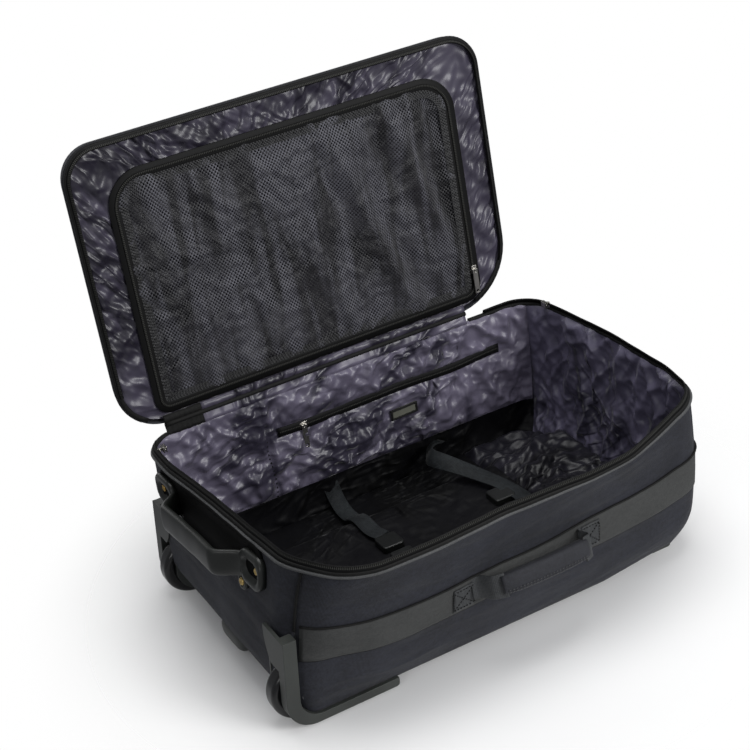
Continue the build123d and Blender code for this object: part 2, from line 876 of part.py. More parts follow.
with BuildPart() as lock_pins:
    for side in (-1, 1):
        with BuildSketch(Plane.XY.offset(pin_top)):
            with Locations((pin_x, side * tube_y)):
                Circle(pin_r)
        extrude(amount=-pin_len)
keep(lock_pins.part, "lock_pins")

button_cut = button_len + 2 * fit_gap
with BuildPart() as trolley_grip:
    with BuildSketch(Plane.YZ.offset(grip_x)):
        with Locations((0, tube_z)):
            Rectangle(2 * grip_half, grip_h)
    extrude(amount=grip_out)
    fillet(trolley_grip.edges().filter_by(Axis.Z).group_by(Axis.X)[-1], grip_corner_r)
    fillet(trolley_grip.edges().group_by(Axis.X)[-1], grip_round)
    for side in (-1, 1):
        with BuildSketch(Plane.YZ.offset(grip_x)):
            with Locations((side * tube_y, tube_z)):
                Rectangle(grip_socket_w, grip_h)
        extrude(amount=-grip_socket)
        with BuildSketch(Plane.YZ.offset(grip_back_x)):
            with Locations((side * tube_y, tube_z)):
                Rectangle(*slide_tube)
        extrude(amount=grip_socket, mode=Mode.SUBTRACT)
    with BuildSketch(Plane.YZ.offset(grip_front_x)):
        with Locations((0, tube_z)):
            Rectangle(button_cut, button_h + 2 * fit_gap)
    extrude(amount=-button_deep, mode=Mode.SUBTRACT)
keep(trolley_grip.part, "trolley_grip")

with BuildPart() as release_button:
    with BuildSketch(Plane.YZ.offset(grip_front_x + button_proud)):
        with Locations((0, tube_z)):
            Rectangle(button_len, button_h)
    extrude(amount=button_travel + fit_gap - button_deep - button_proud)
    fillet(release_button.edges().group_by(Axis.X)[-1], button_round)
keep(release_button.part, "release_button")

with BuildPart() as trolley_bezel:
    with BuildSketch(Plane.YZ.offset(half_len)):
        with Locations((0, tray_mid)):
            bezel_high = tray_high - tray_low + 2 * bezel_lip_h
            RectangleRounded(2 * (tray_half + bezel_lip), bezel_high, bezel_lip_h)
    extrude(amount=bezel_t)
    with BuildSketch(Plane.YZ.offset(tray_x)):
        with Locations((0, tray_mid)):
            Rectangle(2 * tray_half, tray_high - tray_low)
    extrude(amount=half_len - tray_x)
    with BuildSketch(Plane.YZ.offset(tray_x + tray_wall)):
        with Locations((0, tray_mid)):
            Rectangle(2 * (tray_half - tray_wall), tray_high - tray_low - 2 * tray_wall)
    extrude(amount=half_len, mode=Mode.SUBTRACT)
    with BuildSketch(Plane.YZ.offset(tray_x)):
        with Locations((0, tube_z)):
            with GridLocations(2 * tube_y, 1, 2, 1):
                Rectangle(*tube_hollow)
    extrude(amount=tray_wall, mode=Mode.SUBTRACT)
keep(trolley_bezel.part, "trolley_bezel")


# ================================================================ lining, tube cover, inside fittings
well_cover_t = 2 * lining_t
cover_boxes = []
for grow in (well_cover_t, well_cover_t + lining_t):
    cover_boxes.append([
        box_between(
            (-far_x, min(s * (axle_inner - grow), s * far_x), lining_z),
            (well_front_x + grow, max(s * (axle_inner - grow), s * far_x), well_top + grow),
        )
        for s in (-1, 1)
    ])
lining_outer = bag_block(panel_t, lining_z, wall_top)
lining_inner = bag_block(panel_t + lining_t, lining_z + lining_t, wall_top)
cover_path = box_between((-far_x, -cover_half, lining_z), (far_x, cover_half, cover_high))
cover_hollow = box_between(
    (-far_x, cover_t - cover_half, lining_z), (far_x, cover_half - cover_t, cover_high - cover_t)
)
with BuildPart() as lining_room:
    add(lining_inner)
    for bump in cover_boxes[1]:
        add(bump, mode=Mode.SUBTRACT)

with BuildPart() as body_lining:
    add(lining_outer)
    add(lining_room.part, mode=Mode.SUBTRACT)
    for bump in cover_boxes[0]:
        add(bump, mode=Mode.SUBTRACT)
    add(cover_path, mode=Mode.SUBTRACT)
    add(cup_cut.part, mode=Mode.SUBTRACT)
    add(screw_cut.part, mode=Mode.SUBTRACT)
keep(body_lining.part, "body_lining")

cover_block = bag_block(panel_t, lining_z, cover_high)
with BuildPart() as tube_cover:
    add(cover_block)
    add(cover_path, mode=Mode.INTERSECT)
    add(cover_hollow, mode=Mode.SUBTRACT)
keep(tube_cover.part, "tube_cover")

inner_y = half_wid - panel_t - lining_t
with BuildPart() as pocket_zip_tape:
    with BuildSketch(side_plane(inner_y)):
        with Locations(((pocket_zip_x0 + pocket_zip_x1) / 2, pocket_zip_z)):
            Rectangle(pocket_zip_x1 - pocket_zip_x0, pocket_tape_w)
    extrude(amount=pocket_tape_t)
keep(pocket_zip_tape.part, "pocket_zip_tape")

with BuildPart() as label_plate:
    with BuildSketch(side_plane(inner_y)):
        with Locations((label_x, label_z)):
            RectangleRounded(label_w, label_h, label_corner_r)
    extrude(amount=label_t)
keep(label_plate.part, "label_plate")

floor_z = lining_z + lining_t
with BuildPart() as packing_straps:
    for side, strap_end in ((1, socket_end_y), (-1, plug_end_y)):
        for x in strap_x:
            with BuildSketch(Plane.YZ.offset(x - strap_w / 2)):
                with BuildLine():
                    Polyline(
                        (side * inner_y, floor_z),
                        (side * cover_half, floor_z),
                        (side * cover_half, cover_high),
                        (side * strap_end, cover_high),
                        (side * strap_end, cover_high + strap_t),
                        (side * (cover_half + strap_t), cover_high + strap_t),
                        (side * (cover_half + strap_t), floor_z + strap_t),
                        (side * inner_y, floor_z + strap_t),
                        close=True,
                    )
                make_face()
            extrude(amount=strap_w)
keep(packing_straps.part, "packing_straps")

for buckle_name, side, strap_end, length in (
    ("buckle_sockets", 1, socket_end_y, buckle_l),
    ("buckle_plugs", -1, plug_end_y, plug_l),
):
    with BuildPart() as buckles:
        with BuildSketch(Plane.XY.offset(cover_high)):
            for x in strap_x:
                with Locations((x, side * (strap_end - length / 2))):
                    RectangleRounded(buckle_w, length, buckle_corner_r)
        extrude(amount=buckle_h)
        fillet(buckles.edges().group_by(Axis.Z)[-1], buckle_round)
    keep(buckles.part, buckle_name)


# ================================================================ lid
def lid_outline(inset):
    """Rounded outline of the lid, inset from its edge, in the active sketch."""
    with Locations((0, lid_mid)):
        RectangleRounded(rim_length - 2 * inset, lid_high - 2 * inset, corner_r - inset)


def clear_of_hinge(start):
    """Cuts the active sketch back to this distance from the hinge."""
    Rectangle(2 * far_x, 2 * start, mode=Mode.SUBTRACT)


panel_depth = lid_depth - lid_wall
with BuildPart() as lid_panel:
    with BuildSketch(lid_level(panel_depth)):
        lid_outline(0)
    extrude(amount=-lid_wall)
keep(lid_panel.part, "lid_panel")

with BuildPart() as lid_gusset:
    with BuildSketch(lid_level(fit_gap)):
        lid_outline(0)
        with Locations((0, lid_mid)):
            RectangleRounded(
                rim_length - 2 * lid_wall,
                lid_high - 2 * lid_wall,
                corner_r - lid_wall,
                mode=Mode.SUBTRACT,
            )
    extrude(amount=fit_gap - panel_depth)
keep(lid_gusset.part, "lid_gusset")

with BuildPart() as lid_piping:
    with BuildSketch(lid_level(fit_gap)):
        lid_outline(-piping_out)
        with Locations((0, lid_mid)):
            RectangleRounded(rim_length, lid_high, corner_r, mode=Mode.SUBTRACT)
        clear_of_hinge(zip_end)
    extrude(amount=-piping_h)
keep(lid_piping.part, "lid_piping")

with BuildPart() as lid_zip_tape:
    with BuildSketch(lid_level(0)):
        lid_outline(zip_inset)
        with Locations((0, lid_mid)):
            inner = zip_inset + zip_tape_t
            RectangleRounded(
                rim_length - 2 * inner,
                lid_high - 2 * inner,
                corner_r - inner,
                mode=Mode.SUBTRACT,
            )
        clear_of_hinge(lid_tape_start)
    extrude(amount=zip_tape_h)
keep(lid_zip_tape.part, "lid_zip_tape")

mesh_mid = (mesh_low + mesh_high) / 2
mesh_tall = mesh_high - mesh_low
with BuildPart() as lid_lining:
    with BuildSketch(lid_level(panel_depth - lining_t)):
        lid_outline(lid_wall)
    extrude(amount=-lining_t)
keep(lid_lining.part, "lid_lining")

with BuildPart() as lid_facing:
    with BuildSketch(lid_level(facing_depth)):
        lid_outline(lid_wall)
        with Locations((0, mesh_mid)):
            RectangleRounded(2 * mesh_half_w, mesh_tall, mesh_corner_r, mode=Mode.SUBTRACT)
    extrude(amount=-lining_t)
keep(lid_facing.part, "lid_facing")

with BuildPart() as mesh_zip_frame:
    with BuildSketch(lid_level(facing_depth - lining_t)):
        with Locations((0, mesh_mid)):
            RectangleRounded(2 * mesh_half_w, mesh_tall, mesh_corner_r)
            offset(amount=-mesh_tape_w, mode=Mode.SUBTRACT)
    extrude(amount=-2 * lining_t)
keep(mesh_zip_frame.part, "mesh_zip_frame")

with BuildPart() as mesh_panel:
    with BuildSketch(lid_level(facing_depth)):
        with Locations((0, mesh_mid)):
            RectangleRounded(
                2 * (mesh_half_w - mesh_tape_w),
                mesh_tall - 2 * mesh_tape_w,
                mesh_corner_r - mesh_tape_w,
            )
    extrude(amount=-lining_t)
keep(mesh_panel.part, "mesh_panel")


# ================================================================ zip sliders and pulls
def add_bail(face_z, stand):
    """Post on a slider's face with the hole that its pull turns in, in the slider's own frame."""
    with Locations((0, 0, face_z + (stand + bail_r) / 2)):
        Box(bail_t, 2 * bail_r, stand + bail_r)
    with Locations((0, 0, face_z + stand)):
        Cylinder(pull_pin_r + running_clear, 2 * bail_t, rotation=(0, 90, 0), mode=Mode.SUBTRACT)


def slider_flat(plane, wide, tall):
    """Slider that lies on a flat tape; its frame has +Z away from the tape."""
    with BuildPart(plane) as slider:
        with Locations((0, 0, slider_deep / 2)):
            Box(wide, tall, slider_deep)
        add_bail(slider_deep, bail_stand)
    return slider.part


def slider_astride(plane):
    """Slider that straddles the tapes of body and lid; its frame has +Z outwards and +Y up."""
    with BuildPart(plane) as slider:
        Box(slider_len, astride_h, 2 * astride_half)
        with Locations((0, (bridge_h + astride_h) / 2, 0), (0, -(bridge_h + astride_h) / 2, 0)):
            Box(2 * slider_len, astride_h, zip_tape_t + 2 * fit_gap, mode=Mode.SUBTRACT)
        add_bail(astride_half, astride_stand)
    return slider.part


def pull_tab(plane, pivot_z, length):
    """Pull that hangs from a slider's post, with a round hole near its end."""
    with BuildPart(plane) as pull:
        with BuildSketch(plane.offset(pivot_z - pull_t / 2)):
            with Locations((0, (pull_over - length) / 2)):
                Rectangle(pull_w, length + pull_over)
            with Locations((0, pull_w / 2 - length)):
                Circle(pull_hole_r, mode=Mode.SUBTRACT)
            with Locations((0, 0)):
                Rectangle(bail_t + 2 * fit_gap, 2 * pull_slot, mode=Mode.SUBTRACT)
        extrude(amount=pull_t)
        with Locations((0, 0, pivot_z)):
            Cylinder(pull_pin_r, pull_w, rotation=(0, 90, 0))
    return pull.part


pocket_plane = Plane(
    origin=(pocket_slider_x, inner_y - pocket_tape_t - fit_gap, pocket_zip_z),
    x_dir=(1, 0, 0),
    z_dir=(0, -1, 0),
)
mesh_slider_at = (mesh_half_w - mesh_tape_w / 2, mesh_slider_b, fit_gap + lining_t - facing_depth)
mesh_plane = Plane(
    origin=lid_plane.from_local_coords(mesh_slider_at), x_dir=(1, 0, 0), z_dir=lid_plane.z_dir
)
main_x = half_len - zip_inset - zip_tape_t / 2
main_z = rim_height + mouth_gap / 2
bridge_h = mouth_gap - 2 * zip_tape_h - 2 * fit_gap
wheel_main_plane = Plane(
    origin=(-main_x, main_slider_y, main_z), x_dir=(0, -1, 0), z_dir=(-1, 0, 0)
)
top_main_plane = Plane(
    origin=(main_x, main_slider_y, main_z), x_dir=(0, 1, 0), z_dir=(1, 0, 0)
)

keep(slider_flat(pocket_plane, slider_len, slider_wide), "pocket_zip_slider")
keep(pull_tab(pocket_plane, slider_deep + bail_stand, pull_len), "pocket_zip_pull")
keep(slider_flat(mesh_plane, slider_wide, slider_len), "mesh_zip_slider")
keep(pull_tab(mesh_plane, slider_deep + bail_stand, pull_len), "mesh_zip_pull")
for end_name, plane in (("wheel_end", wheel_main_plane), ("top_end", top_main_plane)):
    keep(slider_astride(plane), f"main_slider_{end_name}")
    keep(pull_tab(plane, astride_half + astride_stand, main_pull_len), f"main_pull_{end_name}")


# ================================================================ carry handles
side_plane_out = Plane(
    origin=(side_handle_x, -half_wid - band_t, side_handle_z), x_dir=(1, 0, 0), z_dir=(0, -1, 0)
)
top_plane_out = Plane(origin=(half_len + band_t, 0, top_handle_z), x_dir=(0, 1, 0), z_dir=(1, 0, 0))
web_axis = patch_t + fit_gap + web_t / 2


def carry_handle(plane, name, span, grip_len, stand, drop):
    """Padded grip on two webbing tabs that turn about the line through the sewn patches."""
    with BuildPart(plane) as grip:
        with Locations((0, -drop, stand)):
            Box(grip_len, grip_pad_h, grip_pad_t)
        fillet(grip.edges().filter_by(lambda e: e.length > grip_len / 2), grip_pad_round)
    grip_tilt = atan2(drop, stand - web_axis)
    tab_plane = Plane(
        origin=plane.from_local_coords((0, 0, web_axis)),
        x_dir=plane.x_dir,
        z_dir=plane.z_dir * sin(grip_tilt) + plane.y_dir * cos(grip_tilt),
    )
    reach = (stand - web_axis) / cos(grip_tilt)
    root = span / 2 - patch_len / 2
    with BuildPart() as webbing:
        for side in (-1, 1):
            with BuildSketch(tab_plane):
                with BuildLine():
                    Polyline(
                        (side * (root + web_seat), 0),
                        (side * (root - web_seat), 0),
                        (side * (grip_len / 2 + fit_gap), -reach + web_seat),
                        (side * (grip_len / 2 + fit_gap), -reach - web_seat),
                        (side * (grip_len / 2 + fit_gap + web_seat), -reach - web_seat),
                        close=True,
                    )
                make_face()
            extrude(amount=web_t / 2, both=True)
            with Locations(tab_plane.location * Pos(side * root, 0, 0)):
                Cylinder(web_t / 2, 2 * web_seat, rotation=(0, 90, 0))
    keep(grip.part, f"{name}_grip")
    keep(webbing.part, f"{name}_webbing")


carry_handle(
    side_plane_out, "side_handle", side_handle_span, side_grip_len, side_grip_stand, side_grip_drop
)
carry_handle(
    top_plane_out, "top_handle", top_handle_span, top_grip_len, top_grip_stand, top_grip_drop
)

with BuildPart() as handle_patches:
    for plane, span in ((side_plane_out, side_handle_span), (top_plane_out, top_handle_span)):
        with BuildSketch(plane):
            with GridLocations(span, 1, 2, 1):
                RectangleRounded(patch_len, web_w, patch_t)
        extrude(amount=patch_t)
keep(handle_patches.part, "handle_patches")
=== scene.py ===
import math

import bmesh
import bpy
import numpy as np
from mathutils import Matrix, Vector, noise


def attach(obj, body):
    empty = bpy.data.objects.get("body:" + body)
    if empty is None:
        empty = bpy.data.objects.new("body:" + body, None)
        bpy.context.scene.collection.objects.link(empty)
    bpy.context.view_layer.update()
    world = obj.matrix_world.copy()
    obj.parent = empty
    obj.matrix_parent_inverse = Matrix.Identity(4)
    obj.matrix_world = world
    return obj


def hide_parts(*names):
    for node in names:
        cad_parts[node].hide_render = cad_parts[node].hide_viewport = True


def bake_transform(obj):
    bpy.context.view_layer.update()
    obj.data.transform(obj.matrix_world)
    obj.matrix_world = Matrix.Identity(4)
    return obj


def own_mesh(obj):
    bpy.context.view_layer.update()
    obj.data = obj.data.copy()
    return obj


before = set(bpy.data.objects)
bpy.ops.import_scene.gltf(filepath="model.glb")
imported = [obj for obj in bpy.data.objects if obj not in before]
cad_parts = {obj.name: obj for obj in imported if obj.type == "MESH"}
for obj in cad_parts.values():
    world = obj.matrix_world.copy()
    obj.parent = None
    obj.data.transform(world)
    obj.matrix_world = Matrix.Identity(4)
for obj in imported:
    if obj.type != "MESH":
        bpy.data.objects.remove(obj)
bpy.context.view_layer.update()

# A soft trolley duffel that lies open on its back. Sizes are in millimetres until a mesh is made.
# +X runs from the wheel end to the top end, -Y is the side with the carry handle, +Z is up.
MM = 0.001
HALF_LEN, HALF_WID, RIM_Z, FLOOR_Z = 320.0, 208.0, 244.0, 16.0
END_LEAN = 20.0                             # how far the wheel end's foot stands out past its rim
CORNER_R = 45.0
HINGE = np.array([-30.0, 208.0, 257.0])     # where the open lid's hinge line is, mid length
TILT = math.radians(95)
LID_UP = np.array([0.0, -math.cos(TILT), math.sin(TILT)])
LID_IN = np.array([0.0, -math.sin(TILT), -math.cos(TILT)])
ALONG = np.array([1.0, 0.0, 0.0])
ACROSS = np.array([0.0, 1.0, 0.0])
UP = np.array([0.0, 0.0, 1.0])
LID_W, LID_LOW, LID_HIGH = 320.0, 1.5, 416.0


# ---------- camera, light, floor
def place_camera():
    """Eye at standing height beyond the wheel end, with the slight roll of a hand-held view."""
    yaw, pitch, roll = 1.128538, 0.499381, -0.139987
    ahead = Vector((math.cos(yaw) * math.cos(pitch), math.sin(yaw) * math.cos(pitch), -math.sin(pitch)))
    right = Vector((math.sin(yaw), -math.cos(yaw), 0))
    up = right.cross(ahead)
    right, up = (
        math.cos(roll) * right + math.sin(roll) * up,
        math.cos(roll) * up - math.sin(roll) * right,
    )
    data = bpy.data.cameras.new("camera")
    data.sensor_width, data.lens = 36.0, 82.55
    camera = bpy.data.objects.new("camera", data)
    turn = Matrix((right, up, -ahead)).transposed().to_4x4()
    camera.matrix_world = Matrix.Translation((-0.9255, -1.8368, 1.4428)) @ turn
    bpy.context.scene.collection.objects.link(camera)
    bpy.context.scene.camera = camera


def place_lamp(name, spot, target, size, power):
    """Square lamp of `size` metres and `power` watts that faces its target."""
    data = bpy.data.lights.new(name, "AREA")
    data.shape, data.size, data.energy = "SQUARE", size, power
    lamp = bpy.data.objects.new(name, data)
    way = Vector(target) - Vector(spot)
    lamp.matrix_world = Matrix.Translation(spot) @ way.to_track_quat("-Z", "Y").to_matrix().to_4x4()
    bpy.context.scene.collection.objects.link(lamp)


# ---------- shader helpers
BAND_PERIOD = math.pi / 10      # width of one band of a wave texture at scale 1
TONE_PATCH = 60.0               # mm across which dyed cloth changes tone
COIL_PITCH = 2.6                # mm; a real coil's turns are half as far apart and would not show


def linear(code):
    """sRGB hex to linear red, green, blue and alpha."""
    parts = [int(code[i:i + 2], 16) / 255 for i in (1, 3, 5)]
    return tuple(c / 12.92 if c <= 0.04045 else ((c + 0.055) / 1.055) ** 2.4 for c in parts) + (1.0,)


def put(tree, kind, sockets=None, stops=(), **settings):
    """Adds one node with its settings and colour stops, and fills its sockets with values or links."""
    node = tree.nodes.new(kind)
    for key, value in settings.items():
        setattr(node, key, value)
    for key, value in (sockets or {}).items():
        socket = node.inputs[key]
        if isinstance(value, bpy.types.NodeSocket):
            tree.links.new(value, socket)
        else:
            socket.default_value = value
    if stops:
        elements = node.color_ramp.elements
        while len(elements) < len(stops):
            elements.new(0.5)
        for element, (position, code) in zip(elements, stops):
            element.position, element.color = position, linear(code)
    return node


def finish_material(name):
    """An empty material and its node tree."""
    material = bpy.data.materials.new(name)
    material.use_nodes = True
    material.node_tree.nodes.clear()
    return material, material.node_tree


def woven(name, dark, light, thread, depth, rough, sheen, shine=0.5, ripple=0.0):
    """Plain weave: threads `thread` mm apart cross over and under, and the tone drifts a little."""
    material, tree = finish_material(name)
    uv = put(tree, "ShaderNodeUVMap", uv_map="cloth").outputs["UV"]
    solid = put(tree, "ShaderNodeTexCoord").outputs["Object"]
    waves = []
    for axis in ("X", "Y"):
        band = {"Vector": uv, "Scale": BAND_PERIOD / thread, "Distortion": 0.6, "Detail": 1.0}
        band = put(tree, "ShaderNodeTexWave", band, wave_type="BANDS", bands_direction=axis)
        waves.append(band.outputs["Fac"])
    weave = put(tree, "ShaderNodeMath", {0: waves[0], 1: waves[1]}, operation="MULTIPLY").outputs[0]
    slub = {"Vector": uv, "Scale": 0.45 / thread, "Detail": 3.0}
    drift = {"Vector": solid, "Scale": 1000 / TONE_PATCH, "Detail": 4.0}
    heather = {"Vector": uv, "Scale": 0.2 / thread, "Detail": 2.0, "Roughness": 0.7}
    slub, drift, heather = (put(tree, "ShaderNodeTexNoise", n).outputs["Fac"] for n in (slub, drift, heather))
    tone = slub
    for part in (drift, weave, heather):
        tone = put(tree, "ShaderNodeMath", {0: tone, 1: part}, operation="ADD").outputs[0]
    tone = put(tree, "ShaderNodeMath", {0: tone, 1: 0.4}, operation="MULTIPLY").outputs[0]
    colour = put(tree, "ShaderNodeValToRGB", {"Fac": tone}, [(0.52, dark), (0.86, light)]).outputs["Color"]
    height = put(tree, "ShaderNodeMath", {0: weave, 1: slub}, operation="ADD").outputs[0]
    raised = {"Height": height, "Distance": depth * MM, "Strength": 0.6}
    if ripple:
        # slack cloth ripples along the bag's length, in waves 170 mm long and 42 mm wide
        drawn = {0: uv, 1: (1 / 170, 1 / 42, 0.0)}
        drawn = put(tree, "ShaderNodeVectorMath", drawn, operation="MULTIPLY").outputs[0]
        wave = {"Vector": drawn, "Scale": 1.0, "Detail": 1.5, "Distortion": 0.5}
        wave = put(tree, "ShaderNodeTexNoise", wave)
        soft = {"Height": wave.outputs["Fac"], "Distance": ripple * MM, "Strength": 1.0}
        raised["Normal"] = put(tree, "ShaderNodeBump", soft).outputs["Normal"]
    bump = put(tree, "ShaderNodeBump", raised)
    shader = put(
        tree,
        "ShaderNodeBsdfPrincipled",
        {
            "Base Color": colour,
            "Roughness": rough,
            "Sheen Weight": sheen,
            "Sheen Roughness": 0.4,
            "Specular IOR Level": shine,
            "Normal": bump.outputs["Normal"],
        },
    )
    put(tree, "ShaderNodeOutputMaterial", {"Surface": shader.outputs[0]})
    return material


def satin(name, dark, light, rough, crease, turn, shine=0.6):
    """Filament satin: long soft folds that lie `turn` degrees to the cloth, with small sharp creases darkened
    by painted shade.
    """
    material, tree = finish_material(name)
    uv = put(tree, "ShaderNodeUVMap", uv_map="cloth").outputs["UV"]
    solid = put(tree, "ShaderNodeTexCoord").outputs["Object"]
    bend = put(tree, "ShaderNodeTexNoise", {"Vector": solid, "Scale": 7.0, "Detail": 1.0}).outputs["Color"]
    bend = {0: bend, 1: (70.0, 70.0, 0.0)}
    bent = put(tree, "ShaderNodeVectorMath", bend, operation="MULTIPLY").outputs[0]
    place = put(tree, "ShaderNodeVectorMath", {0: uv, 1: bent}, operation="ADD").outputs[0]
    soft = []
    # (turn, mm across a fold, mm along it)
    lies = ((turn, 50.0, 190.0), (turn - 38.0, 22.0, 85.0), (turn + 50.0, 36.0, 110.0))
    for angle, across, along in lies:
        spin = {"Vector": place, "Rotation": (0, 0, -math.radians(angle))}
        spun = put(tree, "ShaderNodeMapping", spin, vector_type="POINT").outputs[0]
        drawn = {0: spun, 1: (1 / along, 1 / across, 0.0)}
        squeezed = put(tree, "ShaderNodeVectorMath", drawn, operation="MULTIPLY").outputs[0]
        waves = {"Vector": squeezed, "Scale": 1.0, "Detail": 1.5, "Roughness": 0.4}
        soft.append(put(tree, "ShaderNodeTexNoise", waves).outputs["Fac"])
    # the cloth lies smooth in some places and is crushed in others
    crushed = put(tree, "ShaderNodeTexNoise", {"Vector": solid, "Scale": 6.5, "Detail": 1.0}).outputs["Fac"]
    patches = {"Value": crushed, "From Min": 0.4, "From Max": 0.62, "To Min": 0.12, "To Max": 1.0}
    crushed = put(tree, "ShaderNodeMapRange", patches, interpolation_type="SMOOTHSTEP").outputs[0]
    sharp = []
    for height, wide in zip(soft, (0.10, 0.13, 0.12)):
        # a fold has a sharp back, along the line where the noise crosses its middle
        off = put(tree, "ShaderNodeMath", {0: height, 1: 0.5}, operation="SUBTRACT").outputs[0]
        off = put(tree, "ShaderNodeMath", {0: off}, operation="ABSOLUTE").outputs[0]
        back = {"Value": off, "From Min": 0.0, "From Max": wide, "To Min": 1.0, "To Max": 0.0}
        fold = put(tree, "ShaderNodeMapRange", back, interpolation_type="SMOOTHSTEP").outputs[0]
        sharp.append(put(tree, "ShaderNodeMath", {0: fold, 1: crushed}, operation="MULTIPLY").outputs[0])
    tone = put(tree, "ShaderNodeTexNoise", {"Vector": solid, "Scale": 9.0, "Detail": 2.0}).outputs["Fac"]
    # painted shade: the colour darkens along the sharp creases, where shade would fall in the folds
    for fold, share in zip(sharp, (0.5, 0.3)):
        darker = {0: fold, 1: share, 2: tone}
        tone = put(tree, "ShaderNodeMath", darker, operation="MULTIPLY_ADD").outputs[0]
    colour = put(tree, "ShaderNodeValToRGB", {"Fac": tone}, [(0.42, light), (1.05, dark)]).outputs["Color"]
    normal = None
    for height, deep in ((soft[0], 4.5), (soft[2], 2.0), (sharp[2], 0.7), (sharp[0], 1.1), (sharp[1], 0.5)):
        raised = {"Height": height, "Distance": crease * deep * MM, "Strength": 1.0}
        if normal:
            raised["Normal"] = normal
        normal = put(tree, "ShaderNodeBump", raised).outputs["Normal"]
    shader = put(
        tree,
        "ShaderNodeBsdfPrincipled",
        {
            "Base Color": colour,
            "Roughness": rough,
            "Specular IOR Level": shine,
            "Sheen Weight": 0.1,
            "Sheen Roughness": 0.3,
            "Normal": normal,
        },
    )
    put(tree, "ShaderNodeOutputMaterial", {"Surface": shader.outputs[0]})
    return material


def netting(name, dark, light, pitch, open_share):
    """Knitted mesh: threads `pitch` mm apart, open between them."""
    material, tree = finish_material(name)
    uv = put(tree, "ShaderNodeUVMap", uv_map="cloth").outputs["UV"]
    split = put(tree, "ShaderNodeSeparateXYZ", {"Vector": uv})
    near = []
    for axis, stretch in (("X", 1.0), ("Y", 0.85)):
        turns = {0: split.outputs[axis], 1: 2 * math.pi * stretch / pitch}
        turned = put(tree, "ShaderNodeMath", turns, operation="MULTIPLY").outputs[0]
        near.append(put(tree, "ShaderNodeMath", {0: turned}, operation="SINE").outputs[0])
    both = put(tree, "ShaderNodeMath", {0: near[0], 1: near[1]}, operation="MULTIPLY").outputs[0]
    hole = put(tree, "ShaderNodeMath", {0: both, 1: open_share}, operation="GREATER_THAN").outputs[0]
    bump = put(tree, "ShaderNodeBump", {"Height": both, "Distance": 0.8 * MM, "Strength": 0.5}, invert=True)
    # painted shade: the knit is drawn darker down the soft folds in which it hangs, 26 mm by 190 mm
    hang = {0: uv, 1: (1 / 26, 1 / 190, 0.0)}
    hang = put(tree, "ShaderNodeVectorMath", hang, operation="MULTIPLY").outputs[0]
    painted_fold_shade = {"Vector": hang, "Scale": 1.0, "Detail": 2.5, "Distortion": 0.6}
    painted_fold_shade = put(tree, "ShaderNodeTexNoise", painted_fold_shade).outputs["Fac"]
    colour = put(tree, "ShaderNodeValToRGB", {"Fac": painted_fold_shade}, [(0.40, dark), (0.60, light)]).outputs["Color"]
    knit = {"Base Color": colour, "Roughness": 0.55, "Sheen Weight": 0.3, "Normal": bump.outputs["Normal"]}
    knit = put(tree, "ShaderNodeBsdfPrincipled", knit)
    clear = put(tree, "ShaderNodeBsdfTransparent")
    mixed = put(tree, "ShaderNodeMixShader", {0: hole, 1: knit.outputs[0], 2: clear.outputs[0]})
    put(tree, "ShaderNodeOutputMaterial", {"Surface": mixed.outputs[0]})
    return material


def moulded(name, dark, light, rough, grain=0.9, depth=0.12, metallic=0.0, shine=0.5):
    """Moulded or cast surface: a fine grain, edges that catch light, and a slight change of tone."""
    material, tree = finish_material(name)
    solid = put(tree, "ShaderNodeTexCoord").outputs["Object"]
    speck = {"Vector": solid, "Scale": 1000 / grain, "Detail": 2.0}
    speck = put(tree, "ShaderNodeTexNoise", speck).outputs["Fac"]
    drift = put(tree, "ShaderNodeTexNoise", {"Vector": solid, "Scale": 14.0, "Detail": 4.0}).outputs["Fac"]
    colour = put(tree, "ShaderNodeValToRGB", {"Fac": drift}, [(0.35, dark), (0.7, light)]).outputs["Color"]
    rounded = put(tree, "ShaderNodeBevel", {"Radius": 1.2 * MM}, samples=4)
    grained = {"Height": speck, "Distance": depth * MM, "Strength": 0.5, "Normal": rounded.outputs[0]}
    bump = put(tree, "ShaderNodeBump", grained)
    low, high = rough - 0.05, rough + 0.07
    worn = {"Value": drift, "From Min": 0.3, "From Max": 0.7, "To Min": low, "To Max": high}
    gloss = put(tree, "ShaderNodeMapRange", worn)
    shader = put(
        tree,
        "ShaderNodeBsdfPrincipled",
        {
            "Base Color": colour,
            "Metallic": metallic,
            "Specular IOR Level": shine,
            "Roughness": gloss.outputs[0],
            "Normal": bump.outputs["Normal"],
        },
    )
    put(tree, "ShaderNodeOutputMaterial", {"Surface": shader.outputs[0]})
    return material


def zip_coil(name, dark, light):
    """Zip tape: plain tape either side of a coil that runs along its middle."""
    material, tree = finish_material(name)
    uv = put(tree, "ShaderNodeUVMap", uv_map="cloth").outputs["UV"]
    split = put(tree, "ShaderNodeSeparateXYZ", {"Vector": uv})
    turns = {"Vector": uv, "Scale": BAND_PERIOD / COIL_PITCH}
    turns = put(tree, "ShaderNodeTexWave", turns, bands_direction="X").outputs["Fac"]
    middle = put(tree, "ShaderNodeMath", {0: split.outputs["Y"]}, operation="ABSOLUTE").outputs[0]
    edge = {"Value": middle, "From Min": 1.6, "From Max": 2.4, "To Min": 1.0, "To Max": 0.0}
    coil = put(tree, "ShaderNodeMapRange", edge).outputs[0]
    teeth = put(tree, "ShaderNodeMath", {0: turns, 1: coil}, operation="MULTIPLY").outputs[0]
    colour = put(tree, "ShaderNodeValToRGB", {"Fac": teeth}, [(0.0, dark), (1.0, light)]).outputs["Color"]
    bump = put(tree, "ShaderNodeBump", {"Height": teeth, "Distance": 1.0 * MM, "Strength": 0.9})
    tape = {"Base Color": colour, "Roughness": 0.6, "Specular IOR Level": 0.2, "Normal": bump.outputs[0]}
    shader = put(tree, "ShaderNodeBsdfPrincipled", tape)
    put(tree, "ShaderNodeOutputMaterial", {"Surface": shader.outputs[0]})
    return material


